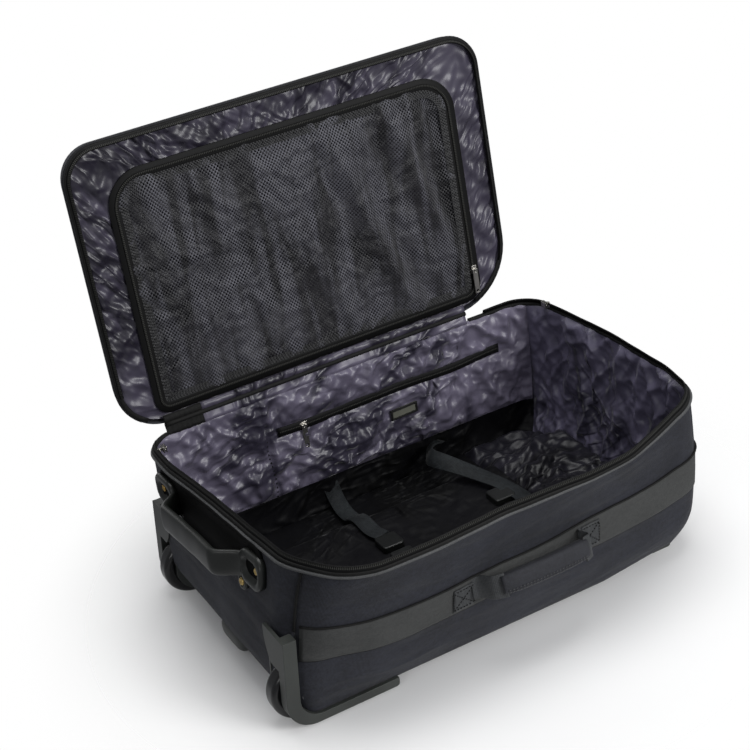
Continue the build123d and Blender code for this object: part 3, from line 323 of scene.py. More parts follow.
# Real threads are 0.3 to 0.6 mm apart; these are drawn 0.9 to 2.2 mm apart so that the weave shows.
# outer cloth: dull blue-black, with a heathered fleck and long slack ripples
outer_weave = woven("navy_black_polyester_weave", "#101117", "#2b2d37", 1.6, 0.5, 0.85, 0.05, ripple=14.0)
# band: smoother, paler and greyer than the cloth beside it
band_weave = woven("grey_polyester_band_weave", "#2b2c2c", "#434443", 1.2, 0.25, 0.75, 0.05, ripple=8.0)
# binding and cords: near black, close woven, almost without shine
piping_weave = woven("bound_piping_weave", "#0b0b0b", "#1d1d1c", 0.9, 0.2, 0.65, 0.02, shine=0.2)
# mouth cord and grip seams: pale; on the mouth cord the paleness is a painted highlight along its edge, on
# the grip seams it is pale thread
pale_piping = woven("pale_thread_and_painted_highlight_piping_weave", "#303132", "#555657", 0.9, 0.2, 0.55, 0.1)
# packing straps: dark webbing with a thick thread
strap_weave = woven("dark_packing_webbing", "#16181a", "#2f3335", 2.2, 0.5, 0.6, 0.05, shine=0.2)
# handle patches and tabs: thick thread that catches more light than the cloth under it
webbing_weave = woven("ribbed_webbing_weave", "#222426", "#404244", 2.2, 0.5, 0.65, 0.06)
# grips: the outer cloth's colour over a firm core, with a finer thread
grip_weave = woven("padded_grip_weave", "#14151a", "#2d2e35", 1.4, 0.3, 0.75, 0.06)
# lining: purple grey with bright fold backs, and painted shade that darkens its creases
lining_satin = satin("purple_grey_satin", "#302d3b", "#6a6577", 0.4, 3.0, turn=48.0)
# top end: the same cloth, toned a little darker as painted shade for the end wall, its folds upright
end_satin = satin("purple_grey_satin_end_wall", "#32303f", "#5f5b70", 0.4, 3.0, turn=84.0)
# lid border: the same cloth pulled by two gathered seams, its folds short and across the border; drawn darker
# as painted shade for the lid, which leans away from the light
lid_satin = satin("purple_grey_satin_lid", "#23202c", "#484453", 0.4, 2.6, turn=86.0)
# behind the net: satin seen in the net's shade
backing_satin = satin("satin_behind_net", "#131118", "#29262f", 0.5, 3.0, turn=75.0)
# floor by the top end: the lining satin drawn dim as painted shade deep inside the bag, but still glossy
shaded_satin = satin("purple_grey_satin_on_floor", "#0c0b11", "#23222b", 0.45, 3.0, turn=30.0, shine=0.4)
# rest of the floor: drawn almost black as painted shade, with faint folds
floor_satin = satin("shaded_floor_satin", "#040405", "#08080c", 0.55, 2.0, turn=45.0, shine=0.2)
# net: dark knit that lets the satin through; real holes are 2 mm apart, drawn 5.2 mm to show
pocket_net = netting("black_knitted_mesh", "#141418", "#515159", 5.2, 0.05)
# net's doubled edge: two layers, so darker and less open
doubled_net = netting("doubled_knitted_mesh", "#101012", "#1e1e20", 4.6, 0.45)
# zips: black tape with paler turns of coil
zip_weave = zip_coil("black_coil_zip_tape", "#080808", "#3d3d3a")
# wheel housings, feet and bracket: black with a soft grained gloss
housing_plastic = moulded("grained_black_abs", "#2e302e", "#3b3e3b", 0.42)
# grab bar, trolley grip and buckles: smoother, with a clearer highlight
grab_plastic = moulded("satin_black_polypropylene", "#161816", "#202220", 0.34, grain=1.4)
# tyres: the glossiest black of the bag
wheel_rubber = moulded("polished_black_rubber", "#141415", "#1d1d1f", 0.22, grain=2.0, depth=0.03)
# hubs: plain black, duller than the tyres
hub_plastic = moulded("moulded_wheel_plastic", "#1b1c1c", "#272828", 0.38)
# zip sliders and pulls: warm bright metal
zip_metal = moulded("nickel_plated_zinc", "#a3a19b", "#c9c6c0", 0.3, depth=0.04, metallic=1.0)
# screws: small points of yellow metal
screw_brass = moulded("turned_brass", "#b08d4a", "#d9bd7c", 0.28, depth=0.03, metallic=1.0)
# trolley tubes: pale, evenly drawn metal
tube_metal = moulded("drawn_aluminium", "#a9aaac", "#c3c4c6", 0.3, depth=0.03, metallic=1.0)
# wire, axles and pins: greyer metal
steel_metal = moulded("plain_steel", "#8d8e90", "#adaeb0", 0.3, depth=0.03, metallic=1.0)
# bushes: milky and waxy
nylon_plastic = moulded("natural_nylon", "#bdb9ac", "#cfcbbf", 0.5)
# trolley button: mid grey, to be found by eye
button_plastic = moulded("grey_button_abs", "#5b5c5e", "#6d6e70", 0.4)
# label plate: dull olive grey
label_rubber = moulded("soft_label_rubber", "#5a5b52", "#6b6c62", 0.5)
# tray behind the grab bar: drawn almost black as painted shade in the recess, so that the bar stands out
# against it
tray_plastic = moulded("shaded_tray_plastic", "#040404", "#080808", 0.7, shine=0.1)
# back board: matt black sheet
board_plastic = moulded("black_twin_wall_board", "#1d1d20", "#29292d", 0.6)


# ---------- mesh helpers
EASE = 14.0     # mm over which the tables of the wall's shape are eased


def smooth_table(knots, values):
    """Function through the knots, eased so that it has no kinks."""
    fine = np.arange(knots[0] - 3 * EASE, knots[-1] + 3 * EASE, 2.0)
    window = np.exp(-0.5 * (np.arange(-3 * EASE, 3 * EASE + 1, 2.0) / EASE) ** 2)
    raw = np.interp(fine, knots, values)
    padded = np.pad(raw, len(window) // 2, mode="edge")
    eased = np.convolve(padded, window / window.sum(), mode="valid")
    return lambda x: np.interp(x, fine, eased[: len(fine)])


def noisy(points, scale, seed=0.0):
    """Smooth noise from -1 to 1 at each point, with features about `scale` mm across."""
    flat = np.asarray(points, float).reshape(-1, 3) / scale + seed * 17.3
    return np.array([noise.noise(Vector(p)) for p in flat]).reshape(np.asarray(points).shape[:-1])


def run_of(path):
    """Distance along a path at each of its points."""
    return np.concatenate([[0], np.cumsum(np.linalg.norm(np.diff(path, axis=0), axis=1))])


def run_of_grid(points):
    """Distance along a grid at each column and across it at each row, as a mean over the other way."""
    step = np.linalg.norm(np.diff(points, axis=1), axis=-1).mean(axis=0)
    rise = np.linalg.norm(np.diff(points, axis=0), axis=-1).mean(axis=1)
    return np.concatenate([[0], np.cumsum(step)]), np.concatenate([[0], np.cumsum(rise)])


def facing(points, closed=False):
    """The way that each place of a grid faces."""
    along = np.gradient(points, axis=1)
    if closed:
        along = np.roll(points, -1, axis=1) - np.roll(points, 1, axis=1)
    normal = np.cross(along, np.gradient(points, axis=0))
    return normal / (np.linalg.norm(normal, axis=-1)[..., None] + 1e-9)


def squared(wave, power):
    """A sine or cosine pushed towards 1, which turns a circle into a rounded square."""
    return np.sign(wave) * np.abs(wave) ** power


def sheet_mesh(name, points, material, closed=False, uv=None, shade=True):
    """Mesh over a grid of points in mm, rows by columns, with its cloth map in mm."""
    points = np.asarray(points, float)
    rows, columns = points.shape[:2]
    index = np.arange(rows * columns).reshape(rows, columns)
    across = np.concatenate([index, index[:, :1]], axis=1) if closed else index
    a, b, c, d = across[:-1, :-1], across[:-1, 1:], across[1:, 1:], across[1:, :-1]
    faces = np.stack([a, b, c, d], axis=-1).reshape(-1, 4)
    mesh = bpy.data.meshes.new(name)
    mesh.from_pydata((points.reshape(-1, 3) * MM).tolist(), [], faces.tolist())
    u, v = run_of_grid(points) if uv is None else uv
    if closed and uv is None:
        u = np.append(u, u[-1] + u[-1] / (len(u) - 1))
    uu, vv = np.meshgrid(np.asarray(u, float)[: across.shape[1]], np.asarray(v, float))
    place = np.stack([uu, vv], axis=-1)
    corners = [place[:-1, :-1], place[:-1, 1:], place[1:, 1:], place[1:, :-1]]
    mesh.uv_layers.new(name="cloth").data.foreach_set("uv", np.stack(corners, axis=2).ravel())
    if shade:
        mesh.shade_smooth()
    mesh.materials.append(material)
    piece = bpy.data.objects.new(name, mesh)
    bpy.context.scene.collection.objects.link(piece)
    return piece


def thicken(piece, thickness, offset=-1.0):
    """Gives a sheet its thickness in mm, for good."""
    solid = piece.modifiers.new("thickness", "SOLIDIFY")
    solid.thickness, solid.offset = thickness * MM, offset
    settle(piece)
    return piece


def settle(piece):
    """Applies every modifier on a piece."""
    graph = bpy.context.evaluated_depsgraph_get()
    mesh = bpy.data.meshes.new_from_object(piece.evaluated_get(graph))
    piece.modifiers.clear()
    piece.data = mesh
    return piece


def subdivide(piece):
    """Smooths a coarse grid once, for good."""
    modifier = piece.modifiers.new("smooth", "SUBSURF")
    modifier.levels = modifier.render_levels = 1
    return settle(piece)


def sweep(name, path, outward, upward, profile, material, closed=False):
    """Carries a closed profile of (out, up) points along a path; outward and upward may vary."""
    path = np.asarray(path, float)
    outward = np.broadcast_to(outward, path.shape)
    upward = np.broadcast_to(upward, path.shape)
    rows = [path + o * outward + u * upward for o, u in profile]
    rows.append(rows[0])
    points = np.stack(rows, axis=0)
    girth = run_of(np.array(profile + profile[:1]))
    run = run_of(path)
    if closed:
        run = np.append(run, run[-1] + math.dist(path[-1], path[0]))
    piece = sheet_mesh(name, points, material, closed=closed, uv=(run, girth - girth[-1] / 4))
    weld(piece, cap=not closed)
    return piece


def weld(piece, cap=False):
    """Joins vertices that share a place, closes open ends and turns faces outwards."""
    work = bmesh.new()
    work.from_mesh(piece.data)
    bmesh.ops.remove_doubles(work, verts=work.verts, dist=1e-6)
    if cap:
        edges = [e for e in work.edges if e.is_boundary]
        bmesh.ops.holes_fill(work, edges=edges, sides=0)
    bmesh.ops.recalc_face_normals(work, faces=work.faces)
    work.to_mesh(piece.data)
    work.free()


def round_profile(radius, sides=10, wide=1.0):
    """Profile of a cord, as (out, up) points."""
    angles = [2 * math.pi * i / sides for i in range(sides)]
    return [(wide * radius * math.cos(a), radius * math.sin(a)) for a in angles]


def flat_profile(low, high, near, far, ease):
    """Profile of a flat strip with eased edges: up from low to high, out from near to far."""
    return [
        (near, low + ease), (near + ease, low), (far - ease, low), (far, low + ease),
        (far, high - ease), (far - ease, high), (near + ease, high), (near, high - ease),
    ]


def cut_at(piece, point, normal, name):
    """Splits a piece at a plane. What lies beyond goes to a new piece, and the rest stays."""
    whole = piece.copy()
    whole.data = piece.data.copy()
    bpy.context.scene.collection.objects.link(whole)
    other = piece.copy()
    other.data = piece.data.copy()
    other.name = name
    bpy.context.scene.collection.objects.link(other)
    for target, inner, outer in ((piece, False, True), (other, True, False)):
        work = bmesh.new()
        work.from_mesh(target.data)
        geometry = list(work.verts) + list(work.edges) + list(work.faces)
        bmesh.ops.bisect_plane(
            work, geom=geometry, dist=1e-6, plane_co=Vector(point) * MM, plane_no=Vector(normal),
            clear_inner=inner, clear_outer=outer,
        )
        work.to_mesh(target.data)
        work.free()
        # shading runs on across the cut
        shading = target.modifiers.new("shading", "DATA_TRANSFER")
        shading.object, shading.use_loop_data = whole, True
        shading.data_types_loops, shading.loop_mapping = {"CUSTOM_NORMAL"}, "POLYINTERP_NEAREST"
        settle(target)
    bpy.data.objects.remove(whole)
    return other


def crease_lines(points, wide, long, angle, seed):
    """Height from 0 to 1 of sharp-backed creases, `wide` apart and about `long` mm in length."""
    u, v = np.meshgrid(*run_of_grid(points))
    c, s = math.cos(angle), math.sin(angle)
    place = np.stack([(c * u + s * v) / wide, (c * v - s * u) / long, 0 * u + seed * 3.7], axis=-1)
    wander = noisy(place * 30, 60.0, seed + 2)
    place[..., 0] += 0.6 * wander
    ridge = 1 - np.abs(noisy(place, 1.0, seed)) * 3.4
    return np.clip(ridge, 0, 1) ** 1.3


def fix(piece, body, nodes=()):
    """Fixes a piece to a body and the parts that it stands for."""
    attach(piece, body)
    if nodes:
        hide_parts(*nodes)
    return piece


NEAR_PLANE = (0, -HALF_WID - 0.05, 0)       # cloth that bulges past this plane is a piece of its own


def fix_to_case(piece, nodes=()):
    """Fixes a piece to the case. What bulges past the near side's line is cut off as a piece of its own, also
    fixed to the case.
    """
    lowest = min(v.co.y for v in piece.data.vertices)
    pieces = [piece]
    if lowest < (NEAR_PLANE[1] - 1) * MM:
        pieces.append(cut_at(piece, NEAR_PLANE, (0, -1, 0), piece.name + "_slack"))
        fix(pieces[1], "case")
        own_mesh(pieces[1])
    fix(piece, "case", nodes)
    return pieces


def dress(node, material):
    """Gives a carried-over part its finish."""
    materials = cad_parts[node].data.materials
    materials.clear()
    materials.append(material)


# ---------- shape of the open, slack case
RING_LONG, RING_SHORT, RING_CORNER = 128, 84, 12    # steps along a long side, a short side and a corner


def ring():
    """Walk round a rounded rectangle: share along x and y between corner centres, way out, and side."""
    steps = []
    walk = [
        (RING_LONG, (0, 1), (0, 0), -90), (RING_SHORT, (1, 1), (0, 1), 0),
        (RING_LONG, (1, 0), (1, 1), 90), (RING_SHORT, (0, 0), (1, 0), 180),
    ]
    half, bend = RING_CORNER // 2, 90 / RING_CORNER
    for side, (count, xs, ys, angle) in enumerate(walk):
        share = [i / count for i in range(count + 1)]
        steps += [(xs[0], ys[0], angle - 45 + bend * i, side) for i in range(half)]
        steps += [(xs[0] + (xs[1] - xs[0]) * t, ys[0] + (ys[1] - ys[0]) * t, angle, side) for t in share]
        steps += [(xs[1], ys[1], angle + bend * i, side) for i in range(1, half)]
    x, y, turn, side = np.array(steps).T
    return x, y, np.cos(np.radians(turn)), np.sin(np.radians(turn)), side


RING_X, RING_Y, RING_NX, RING_NY, RING_SIDE = ring()
SIDES = {"near": 0, "top": 1, "hinge": 2, "wheel": 3}

TUCK = 54.0                                 # height over which the foot of a wall turns in
BAND_LOW, BAND_HIGH = 103.0, 153.0          # the smooth band round the sides
LEVELS = (FLOOR_Z, BAND_LOW, BAND_HIGH, RIM_Z)
# how far the near wall stands out, then how far it sags, at each station along it and each level
STATIONS = (-320, -300, -261, -223, -180, -119, -70, -26, 38, 104, 173, 227, 287, 320)
NEAR_OUT = (
    (0,) * 14,
    (0, 6, 14, 20, 22, 22, 22, 22, 22, 20, 18, 14, 6, 4),
    (0, 7, 20, 27, 30, 30, 30, 30, 30, 27, 24, 18, 6, 4),
    (14, 26, 50, 59, 59, 58, 56, 54, 56, 61, 55, 36, 10, 2),
)
NEAR_DOWN = (
    (0,) * 14,
    (2, 3, 4, 11, 14, 12, 10, 8, 6, 5, 4, 3, 0, 0),
    (1, 4, 8, 12, 14, 15, 11, 9, 8, 3, 1, 0, -2, -2),
    (0, 1, 5, 9, 10, 10, 9, 8, 8, 8, 6, 3, 0, 0),
)
near_out = [smooth_table(STATIONS, row) for row in NEAR_OUT]
near_down = [smooth_table(STATIONS, row) for row in NEAR_DOWN]
# the same for the two ends, across the bag
wheel_rim_in = smooth_table((-208, -159, -87, 29, 115, 180, 208), (20, 13, 8, -2, -12, -11, -8))
top_rim_out = smooth_table((-208, -122, 19, 120, 170, 208), (2, 18, 20, 12, 6, 0))
top_low_out = smooth_table((-208, -150, 0, 150, 208), (13, 12, 9, 6, 3))


def between_levels(tables, x, z):
    """Value at (x, z) of four tables, one for each level, joined by a cubic."""
    total = np.zeros(np.broadcast(x, z).shape)
    for i, table in enumerate(tables):
        weight = np.ones_like(total)
        for j, level in enumerate(LEVELS):
            if j != i:
                weight = weight * (z - level) / (LEVELS[i] - level)
        total = total + weight * table(x)
    return total


def case_wall(z, inset=0.0, columns=None):
    """Points on the slack wall at the heights z, `inset` in from its outer face. Rows are heights."""
    z = np.atleast_1d(np.asarray(z, float))[:, None]
    columns = slice(None) if columns is None else columns
    fx, fy, nx, ny = (v[columns][None, :] for v in (RING_X, RING_Y, RING_NX, RING_NY))
    end = -HALF_LEN - END_LEAN * np.clip((RIM_Z - z) / (RIM_Z - FLOOR_Z), 0, 1.1)
    x0, x1 = end + CORNER_R, HALF_LEN - CORNER_R
    y0, y1 = CORNER_R - HALF_WID, HALF_WID - CORNER_R
    reach = CORNER_R - inset
    x = x0 + (x1 - x0) * fx + reach * nx
    y = y0 + (y1 - y0) * fy + reach * ny + 0 * x
    level = np.clip(z, FLOOR_Z, RIM_Z) + 0 * x
    share = (level - FLOOR_Z) / (RIM_Z - FLOOR_Z)
    # soft dents, the same for everything that is sewn to the wall
    skin = np.stack([x + inset * nx, y + inset * ny, level], axis=-1)
    dent = (1.5 * noisy(skin, 85.0) + 0.7 * noisy(skin, 34.0, 1)) * np.clip(share * 4, 0, 1)
    x, y = x + dent * nx, y + dent * ny
    to_near = np.clip(-ny, 0, 1) ** 0.7
    to_wheel = np.clip(-nx, 0, 1)
    to_top = np.clip(nx, 0, 1)
    bulge = between_levels(near_out, x, level) * to_near
    sag = between_levels(near_down, x, level) * to_near
    arch = np.sin(np.pi * np.clip(share * 0.9, 0, 1))
    from_end = np.clip((-190 - x) / 120, 0, 1)
    shift = wheel_rim_in(y) * share ** 2 * from_end ** 2 * (3 - 2 * from_end)
    push = (top_rim_out(y) * share ** 2 + top_low_out(y) * arch) * to_top
    # the foot of each wall turns in under the bag
    tuck = np.clip((FLOOR_Z + TUCK - level) / TUCK, 0, 1) ** 2.2
    along_side = 2.0 + 14.0 * np.clip((x - 150) / 120, 0, 1)
    turn_in = tuck * (38.0 * to_wheel ** 4 + 20.0 * to_top + along_side * np.abs(ny))
    return np.stack([x + shift + push - turn_in * nx, y - bulge - turn_in * ny, z - sag + 0 * x], axis=-1)


def columns_of(*sides):
    """Columns of the ring that belong to the sides, in walking order, with the first one after."""
    found = np.concatenate([np.where(RING_SIDE == SIDES[side])[0] for side in sides])
    return np.append(found, (found[-1] + 1) % len(RING_SIDE))


def rim_frame(rows, closed, up=UP):
    """Outward and upward directions along a rim that runs anticlockwise seen from `up`."""
    ahead = np.gradient(rows, axis=0)
    if closed:
        ahead = np.roll(rows, -1, axis=0) - np.roll(rows, 1, axis=0)
    ahead /= np.linalg.norm(ahead, axis=1)[:, None]
    outward = np.cross(ahead, up)
    outward /= np.linalg.norm(outward, axis=1)[:, None]
    return outward, np.cross(outward, ahead)


# ---------- outer shell
heights = np.concatenate([np.linspace(16, 30, 6), np.linspace(36, 238, 44)])
for side, node in (
    ("near", "near_side_panel"), ("top", "top_end_panel"),
    ("hinge", "hinge_side_panel"), ("wheel", "wheel_end_panel"),
):
    wall = case_wall(heights, columns=columns_of(side))
    panel = sheet_mesh(node.replace("panel", "cover"), wall, outer_weave)
    thicken(panel, 2.0)
    for one in fix_to_case(panel, [node]):
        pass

# ---------- carried-over parts
for material, nodes in (
    (housing_plastic, "far_end_feet wheel_housing_near wheel_housing_far trolley_bezel"),
    (grab_plastic, "trolley_grip buckle_sockets buckle_plugs"),
    (wheel_rubber, "near_wheel_tyre far_wheel_tyre"),
    (hub_plastic, "near_wheel_hub far_wheel_hub"),
    (tube_metal, "inner_tubes"),
    (steel_metal, "lock_pins rim_wire wheel_axles"),
    (nylon_plastic, "wheel_bushes"),
    (button_plastic, "release_button"),
    (zip_metal, "pocket_zip_slider pocket_zip_pull mesh_zip_slider mesh_zip_pull"),
    (zip_metal, "main_slider_top_end main_pull_top_end main_slider_wheel_end main_pull_wheel_end"),
):
    for node in nodes.split():
        dress(node, material)

# ---------- band, cords and mouth
AROUND = columns_of("near", "top", "hinge")[1:-1]
STRIP_FROM, STRIP_TO = -290, 208            # the stretch of rim that the hinge strip covers
hinge_columns = columns_of("hinge")
hinge_x = case_wall([240.0], columns=hinge_columns)[0][:, 0]
OPEN_SIDES = np.concatenate([
    hinge_columns[hinge_x < STRIP_FROM],
    columns_of("wheel", "near", "top")[1:-1],
    hinge_columns[hinge_x > STRIP_TO],
])


def trim(name, z, columns, profile, material, nodes, closed=False, inset=0.0):
    """A strip or cord that runs round the wall at height z."""
    path = case_wall([z], inset=inset, columns=columns)[0]
    outward, upward = rim_frame(path, closed)
    piece = sweep(name, path, outward, upward, profile, material, closed=closed)
    return fix_to_case(piece, nodes)


def cord(name, z, columns, radius, inset, nodes=(), material=piping_weave):
    """A piped seam that runs round the wall at height z."""
    trim(name, z, columns, round_profile(radius), material, nodes, inset=inset)


band_rows = case_wall(np.linspace(BAND_LOW, BAND_HIGH, 12), inset=-1.3, columns=AROUND)
band = thicken(sheet_mesh("smooth_side_band", band_rows, band_weave), 1.2)
fix_to_case(band, ["side_band"])
cord("band_top_cord", BAND_HIGH + 1.2, AROUND, 1.7, -1.6, ["seam_cords"])
cord("band_foot_seam", BAND_LOW - 0.4, AROUND, 0.8, -0.6)
for side, column, sign in (("near", 0, -1), ("far", int(hinge_columns[-1]), 1)):
    rows = case_wall(np.linspace(146, 236, 30), inset=-0.8, columns=[column])[:, 0]
    away = np.array([-0.7, 0.7 * sign, 0])
    piece = sweep(side + "_corner_cord", rows, away, np.cross(UP, away), round_profile(1.9), piping_weave)
    fix_to_case(piece)
# painted highlight: the pale cord stands for light along the mouth's edge
cord("mouth_edge_cord", 237.2, OPEN_SIDES, 2.3, -1.2, ["rim_piping"], pale_piping)
trim("mouth_binding", 241.6, OPEN_SIDES, flat_profile(-2.9, 2.8, -6.0, 0.6, 1.2), piping_weave,
     ["rim_binding"])
trim("mouth_wire", 241.0, None, round_profile(0.9, 8), steel_metal, ["rim_wire"],
     closed=True, inset=3.2)


def tape_profile(width, thickness, lean):
    """Profile of zip tape that stands `width` high and leans inwards."""
    side = np.array([-math.sin(lean), math.cos(lean)])
    flat = np.array([math.cos(lean), math.sin(lean)]) * thickness / 2
    mid = [side * width * t for t in (0, 0.5, 0.78, 0.8, 1.0)]
    fat = [1, 1, 1, 2.2, 2.0]
    left = [tuple(m + flat * f) for m, f in zip(mid, fat)]
    right = [tuple(m - flat * f) for m, f in zip(mid, fat)]
    return left + right[::-1]


trim("mouth_zip_tape", RIM_Z, OPEN_SIDES[6:-6], tape_profile(8.0, 1.1, 0.5), zip_weave,
     ["body_zip_tape"], inset=2.0)

# ---------- lid
LID_R, LID_FOOT_R = 50.0, (66.0, 96.0)      # corners far from the hinge; by it, wheel end and top end


def lid_at(a, b, d):
    """Point in the lid's own frame: along the hinge, up the lid, and out of its open side."""
    a, b, d = np.broadcast_arrays(a, b, d)
    return HINGE + a[..., None] * ALONG + b[..., None] * LID_UP + d[..., None] * LID_IN


def lid_outline(
    inset, count=76, low=LID_LOW, high=LID_HIGH, half=LID_W, corner=LID_R, feet=LID_FOOT_R, shift=0.0,
):
    """Anticlockwise outline (a, b) of the lid, from the middle of the hinge side."""
    arcs = []
    w, lo, hi = half - inset, low + inset, high - inset
    corners = [(w, lo, feet[1], -90), (w, hi, corner, 0), (-w, hi, corner, 90), (-w, lo, feet[0], 180)]
    for a, b, r, angle in corners:
        r = max(r - inset, 4.0)
        ca, cb = a - math.copysign(r, a), b + (r if b == lo else -r)
        turn = np.radians(angle + np.linspace(0, 90, 13))
        arcs.append(np.stack([ca + r * np.cos(turn), cb + r * np.sin(turn)], axis=-1))
    parts = []
    for i, arc in enumerate(arcs):
        steps = count if i % 2 else count // 2 + 12
        parts += [arc, np.linspace(arc[-1], arcs[(i + 1) % 4][0], steps)[1:-1]]
    joined = np.concatenate(parts)
    return np.roll(joined, len(parts[-1]) // 2 - len(joined), axis=0) + np.array([shift, 0.0])


def lid_trim(name, inset, depth, profile, material, slot, nodes=(), span=None, **outline):
    """A strip or cord round the lid; `span` keeps the part of the outline above that height."""
    flat = lid_outline(inset, **outline)
    closed = span is None
    if not closed:
        flat = flat[flat[:, 1] > span]
    path = lid_at(*flat.T, depth)
    outward, upward = rim_frame(path, closed, up=LID_IN)
    piece = sweep(name, path, outward, upward, profile, material, closed=closed)
    return fix(piece, "lid", nodes)


def lid_rows(insets, depths):
    """Grid over the lid between outlines of growing inset."""
    return np.stack([lid_at(*lid_outline(inset).T, depth) for inset, depth in zip(insets, depths)])


def drawn_shut(rows, inset, depth):
    """Adds a last ring that is drawn shut along the middle of the lid."""
    line = lid_outline(inset)
    return np.concatenate([rows, [lid_at(line[:, 0], (LID_LOW + LID_HIGH) / 2, depth)]])


# back of the lid: padded cloth that crowns towards its middle
BACK_IN, BACK_OUT = 15.0, -36.0             # how far in from the edge it starts, and how far out
insets = BACK_IN + np.array([0, 1.5, 4, 8, 14, 22, 32, 46, 64, 84, 106, 130, 156, 176, 188])
crown = BACK_OUT - 9.5 * (1 - np.exp(-(insets - BACK_IN) / 26.0))
back = drawn_shut(lid_rows(insets, crown), insets[-1], crown[-1])
wave = noisy(back, 90.0, 4.0) + 0.5 * noisy(back, 90.0 / 2.3, 5.0)
wave *= 1.3 * np.clip((np.append(insets, insets[-1] + 4) - BACK_IN) / 20, 0, 1)[:, None]
lid_back = sheet_mesh("lid_back_cover", back + wave[..., None] * facing(back), outer_weave, closed=True)
weld(lid_back)
fix(lid_back, "lid", ["lid_panel"])

gusset_rows = []
for turn in np.linspace(math.pi / 2, 0, 14):
    edge = lid_outline(BACK_IN * (1 - math.cos(turn)))
    gusset_rows.append(lid_at(*edge.T, BACK_OUT * math.sin(turn) ** 1.15 - 0.5))
gusset = thicken(sheet_mesh("lid_side_gusset", gusset_rows, outer_weave, closed=True), 1.6, offset=1.0)
fix(gusset, "lid", ["lid_gusset"])

lid_trim("lid_edge_piping", 0.0, -2.6, round_profile(2.4), piping_weave, "piping_weave",
         ["lid_piping"], span=12)
lid_trim("lid_back_piping", BACK_IN, BACK_OUT - 0.6, round_profile(2.2), piping_weave, "piping_weave")
lid_trim("lid_binding", 1.5, -0.6, flat_profile(-1.6, 1.4, -5.0, 1.0, 0.8), piping_weave, "piping_weave",
         span=8)
lid_trim("lid_zip_band", 2.4, 0.4, tape_profile(5.5, 1.1, 0.9), zip_weave, "zip_tape_weave",
         ["lid_zip_tape"], span=58)

# ---------- satin behind the net
insets = np.array([3, 8, 14, 22, 32, 44, 58, 76, 98, 124, 152, 178, 198, 204])
BACKING_OUT = -5.0, -10.0, -6.0             # at the edge, past the binding, and towards the middle
depths = (
    BACKING_OUT[0] + BACKING_OUT[1] * (1 - np.exp(-(insets - 3) / 4.0))
    + BACKING_OUT[2] * (1 - np.exp(-insets / 40.0))
)
backing = lid_rows(insets, depths)
under_net = np.clip((insets - 48) / 40, 0, 1)[:, None]
creased = under_net * (5.0 * crease_lines(backing, 60, 200, 0.9, 2.0) - 3.0)
creased[[0, -1]] = 0
backing = drawn_shut(backing + creased[..., None] * LID_IN, insets[-1], sum(BACKING_OUT))
lid_back_satin = sheet_mesh("lid_satin_backing", backing, backing_satin, closed=True)
weld(lid_back_satin)
fix(lid_back_satin, "lid", ["lid_lining"])

# ---------- satin and net: cut slack, then let go
CLOTH_FRAMES = 22       # steps of the simulation, after which the folds have formed
slack_jobs = []


def edges_held(points):
    """Pins along the four edges of a grid."""
    pins = np.zeros(points.shape[:2])
    pins[0] = pins[-1] = pins[:, 0] = pins[:, -1] = 1
    return pins


def slack_sheet(
    name, points, material, growth, inward, outward, place, cut, rests_on, held="hung", pins=None,
    closed=False, creases=(), area=None,
):
    """A sheet with more cloth than its frame. It is let go later with its edges held, then placed."""
    points = np.asarray(points, float)
    piece = sheet_mesh(name, points, material, closed=closed)
    pins = edges_held(points) if pins is None else pins
    free = 1.0 - pins
    for _ in range(3):
        beside = [np.roll(free, step, axis) for axis in (0, 1) for step in (1, -1)]
        free = np.where(pins > 0.5, 0, (free + sum(beside)) / 5)
    raised = np.zeros(points.shape[:2])
    for number, (tall, wide, long, angle) in enumerate(creases):
        raised += tall * crease_lines(points, wide, long, angle, number + 3.0)
    slack_jobs.append(dict(
        piece=piece, points=points, normal=facing(points, closed), raised=raised * free, growth=growth,
        inward=inward, outward=outward, pins=pins, place=place, cut=(cut, held, rests_on, area),
    ))


def eased(rise, limit):
    """A rise that eases off towards its limit instead of being cut flat."""
    return limit * np.tanh(rise / limit)


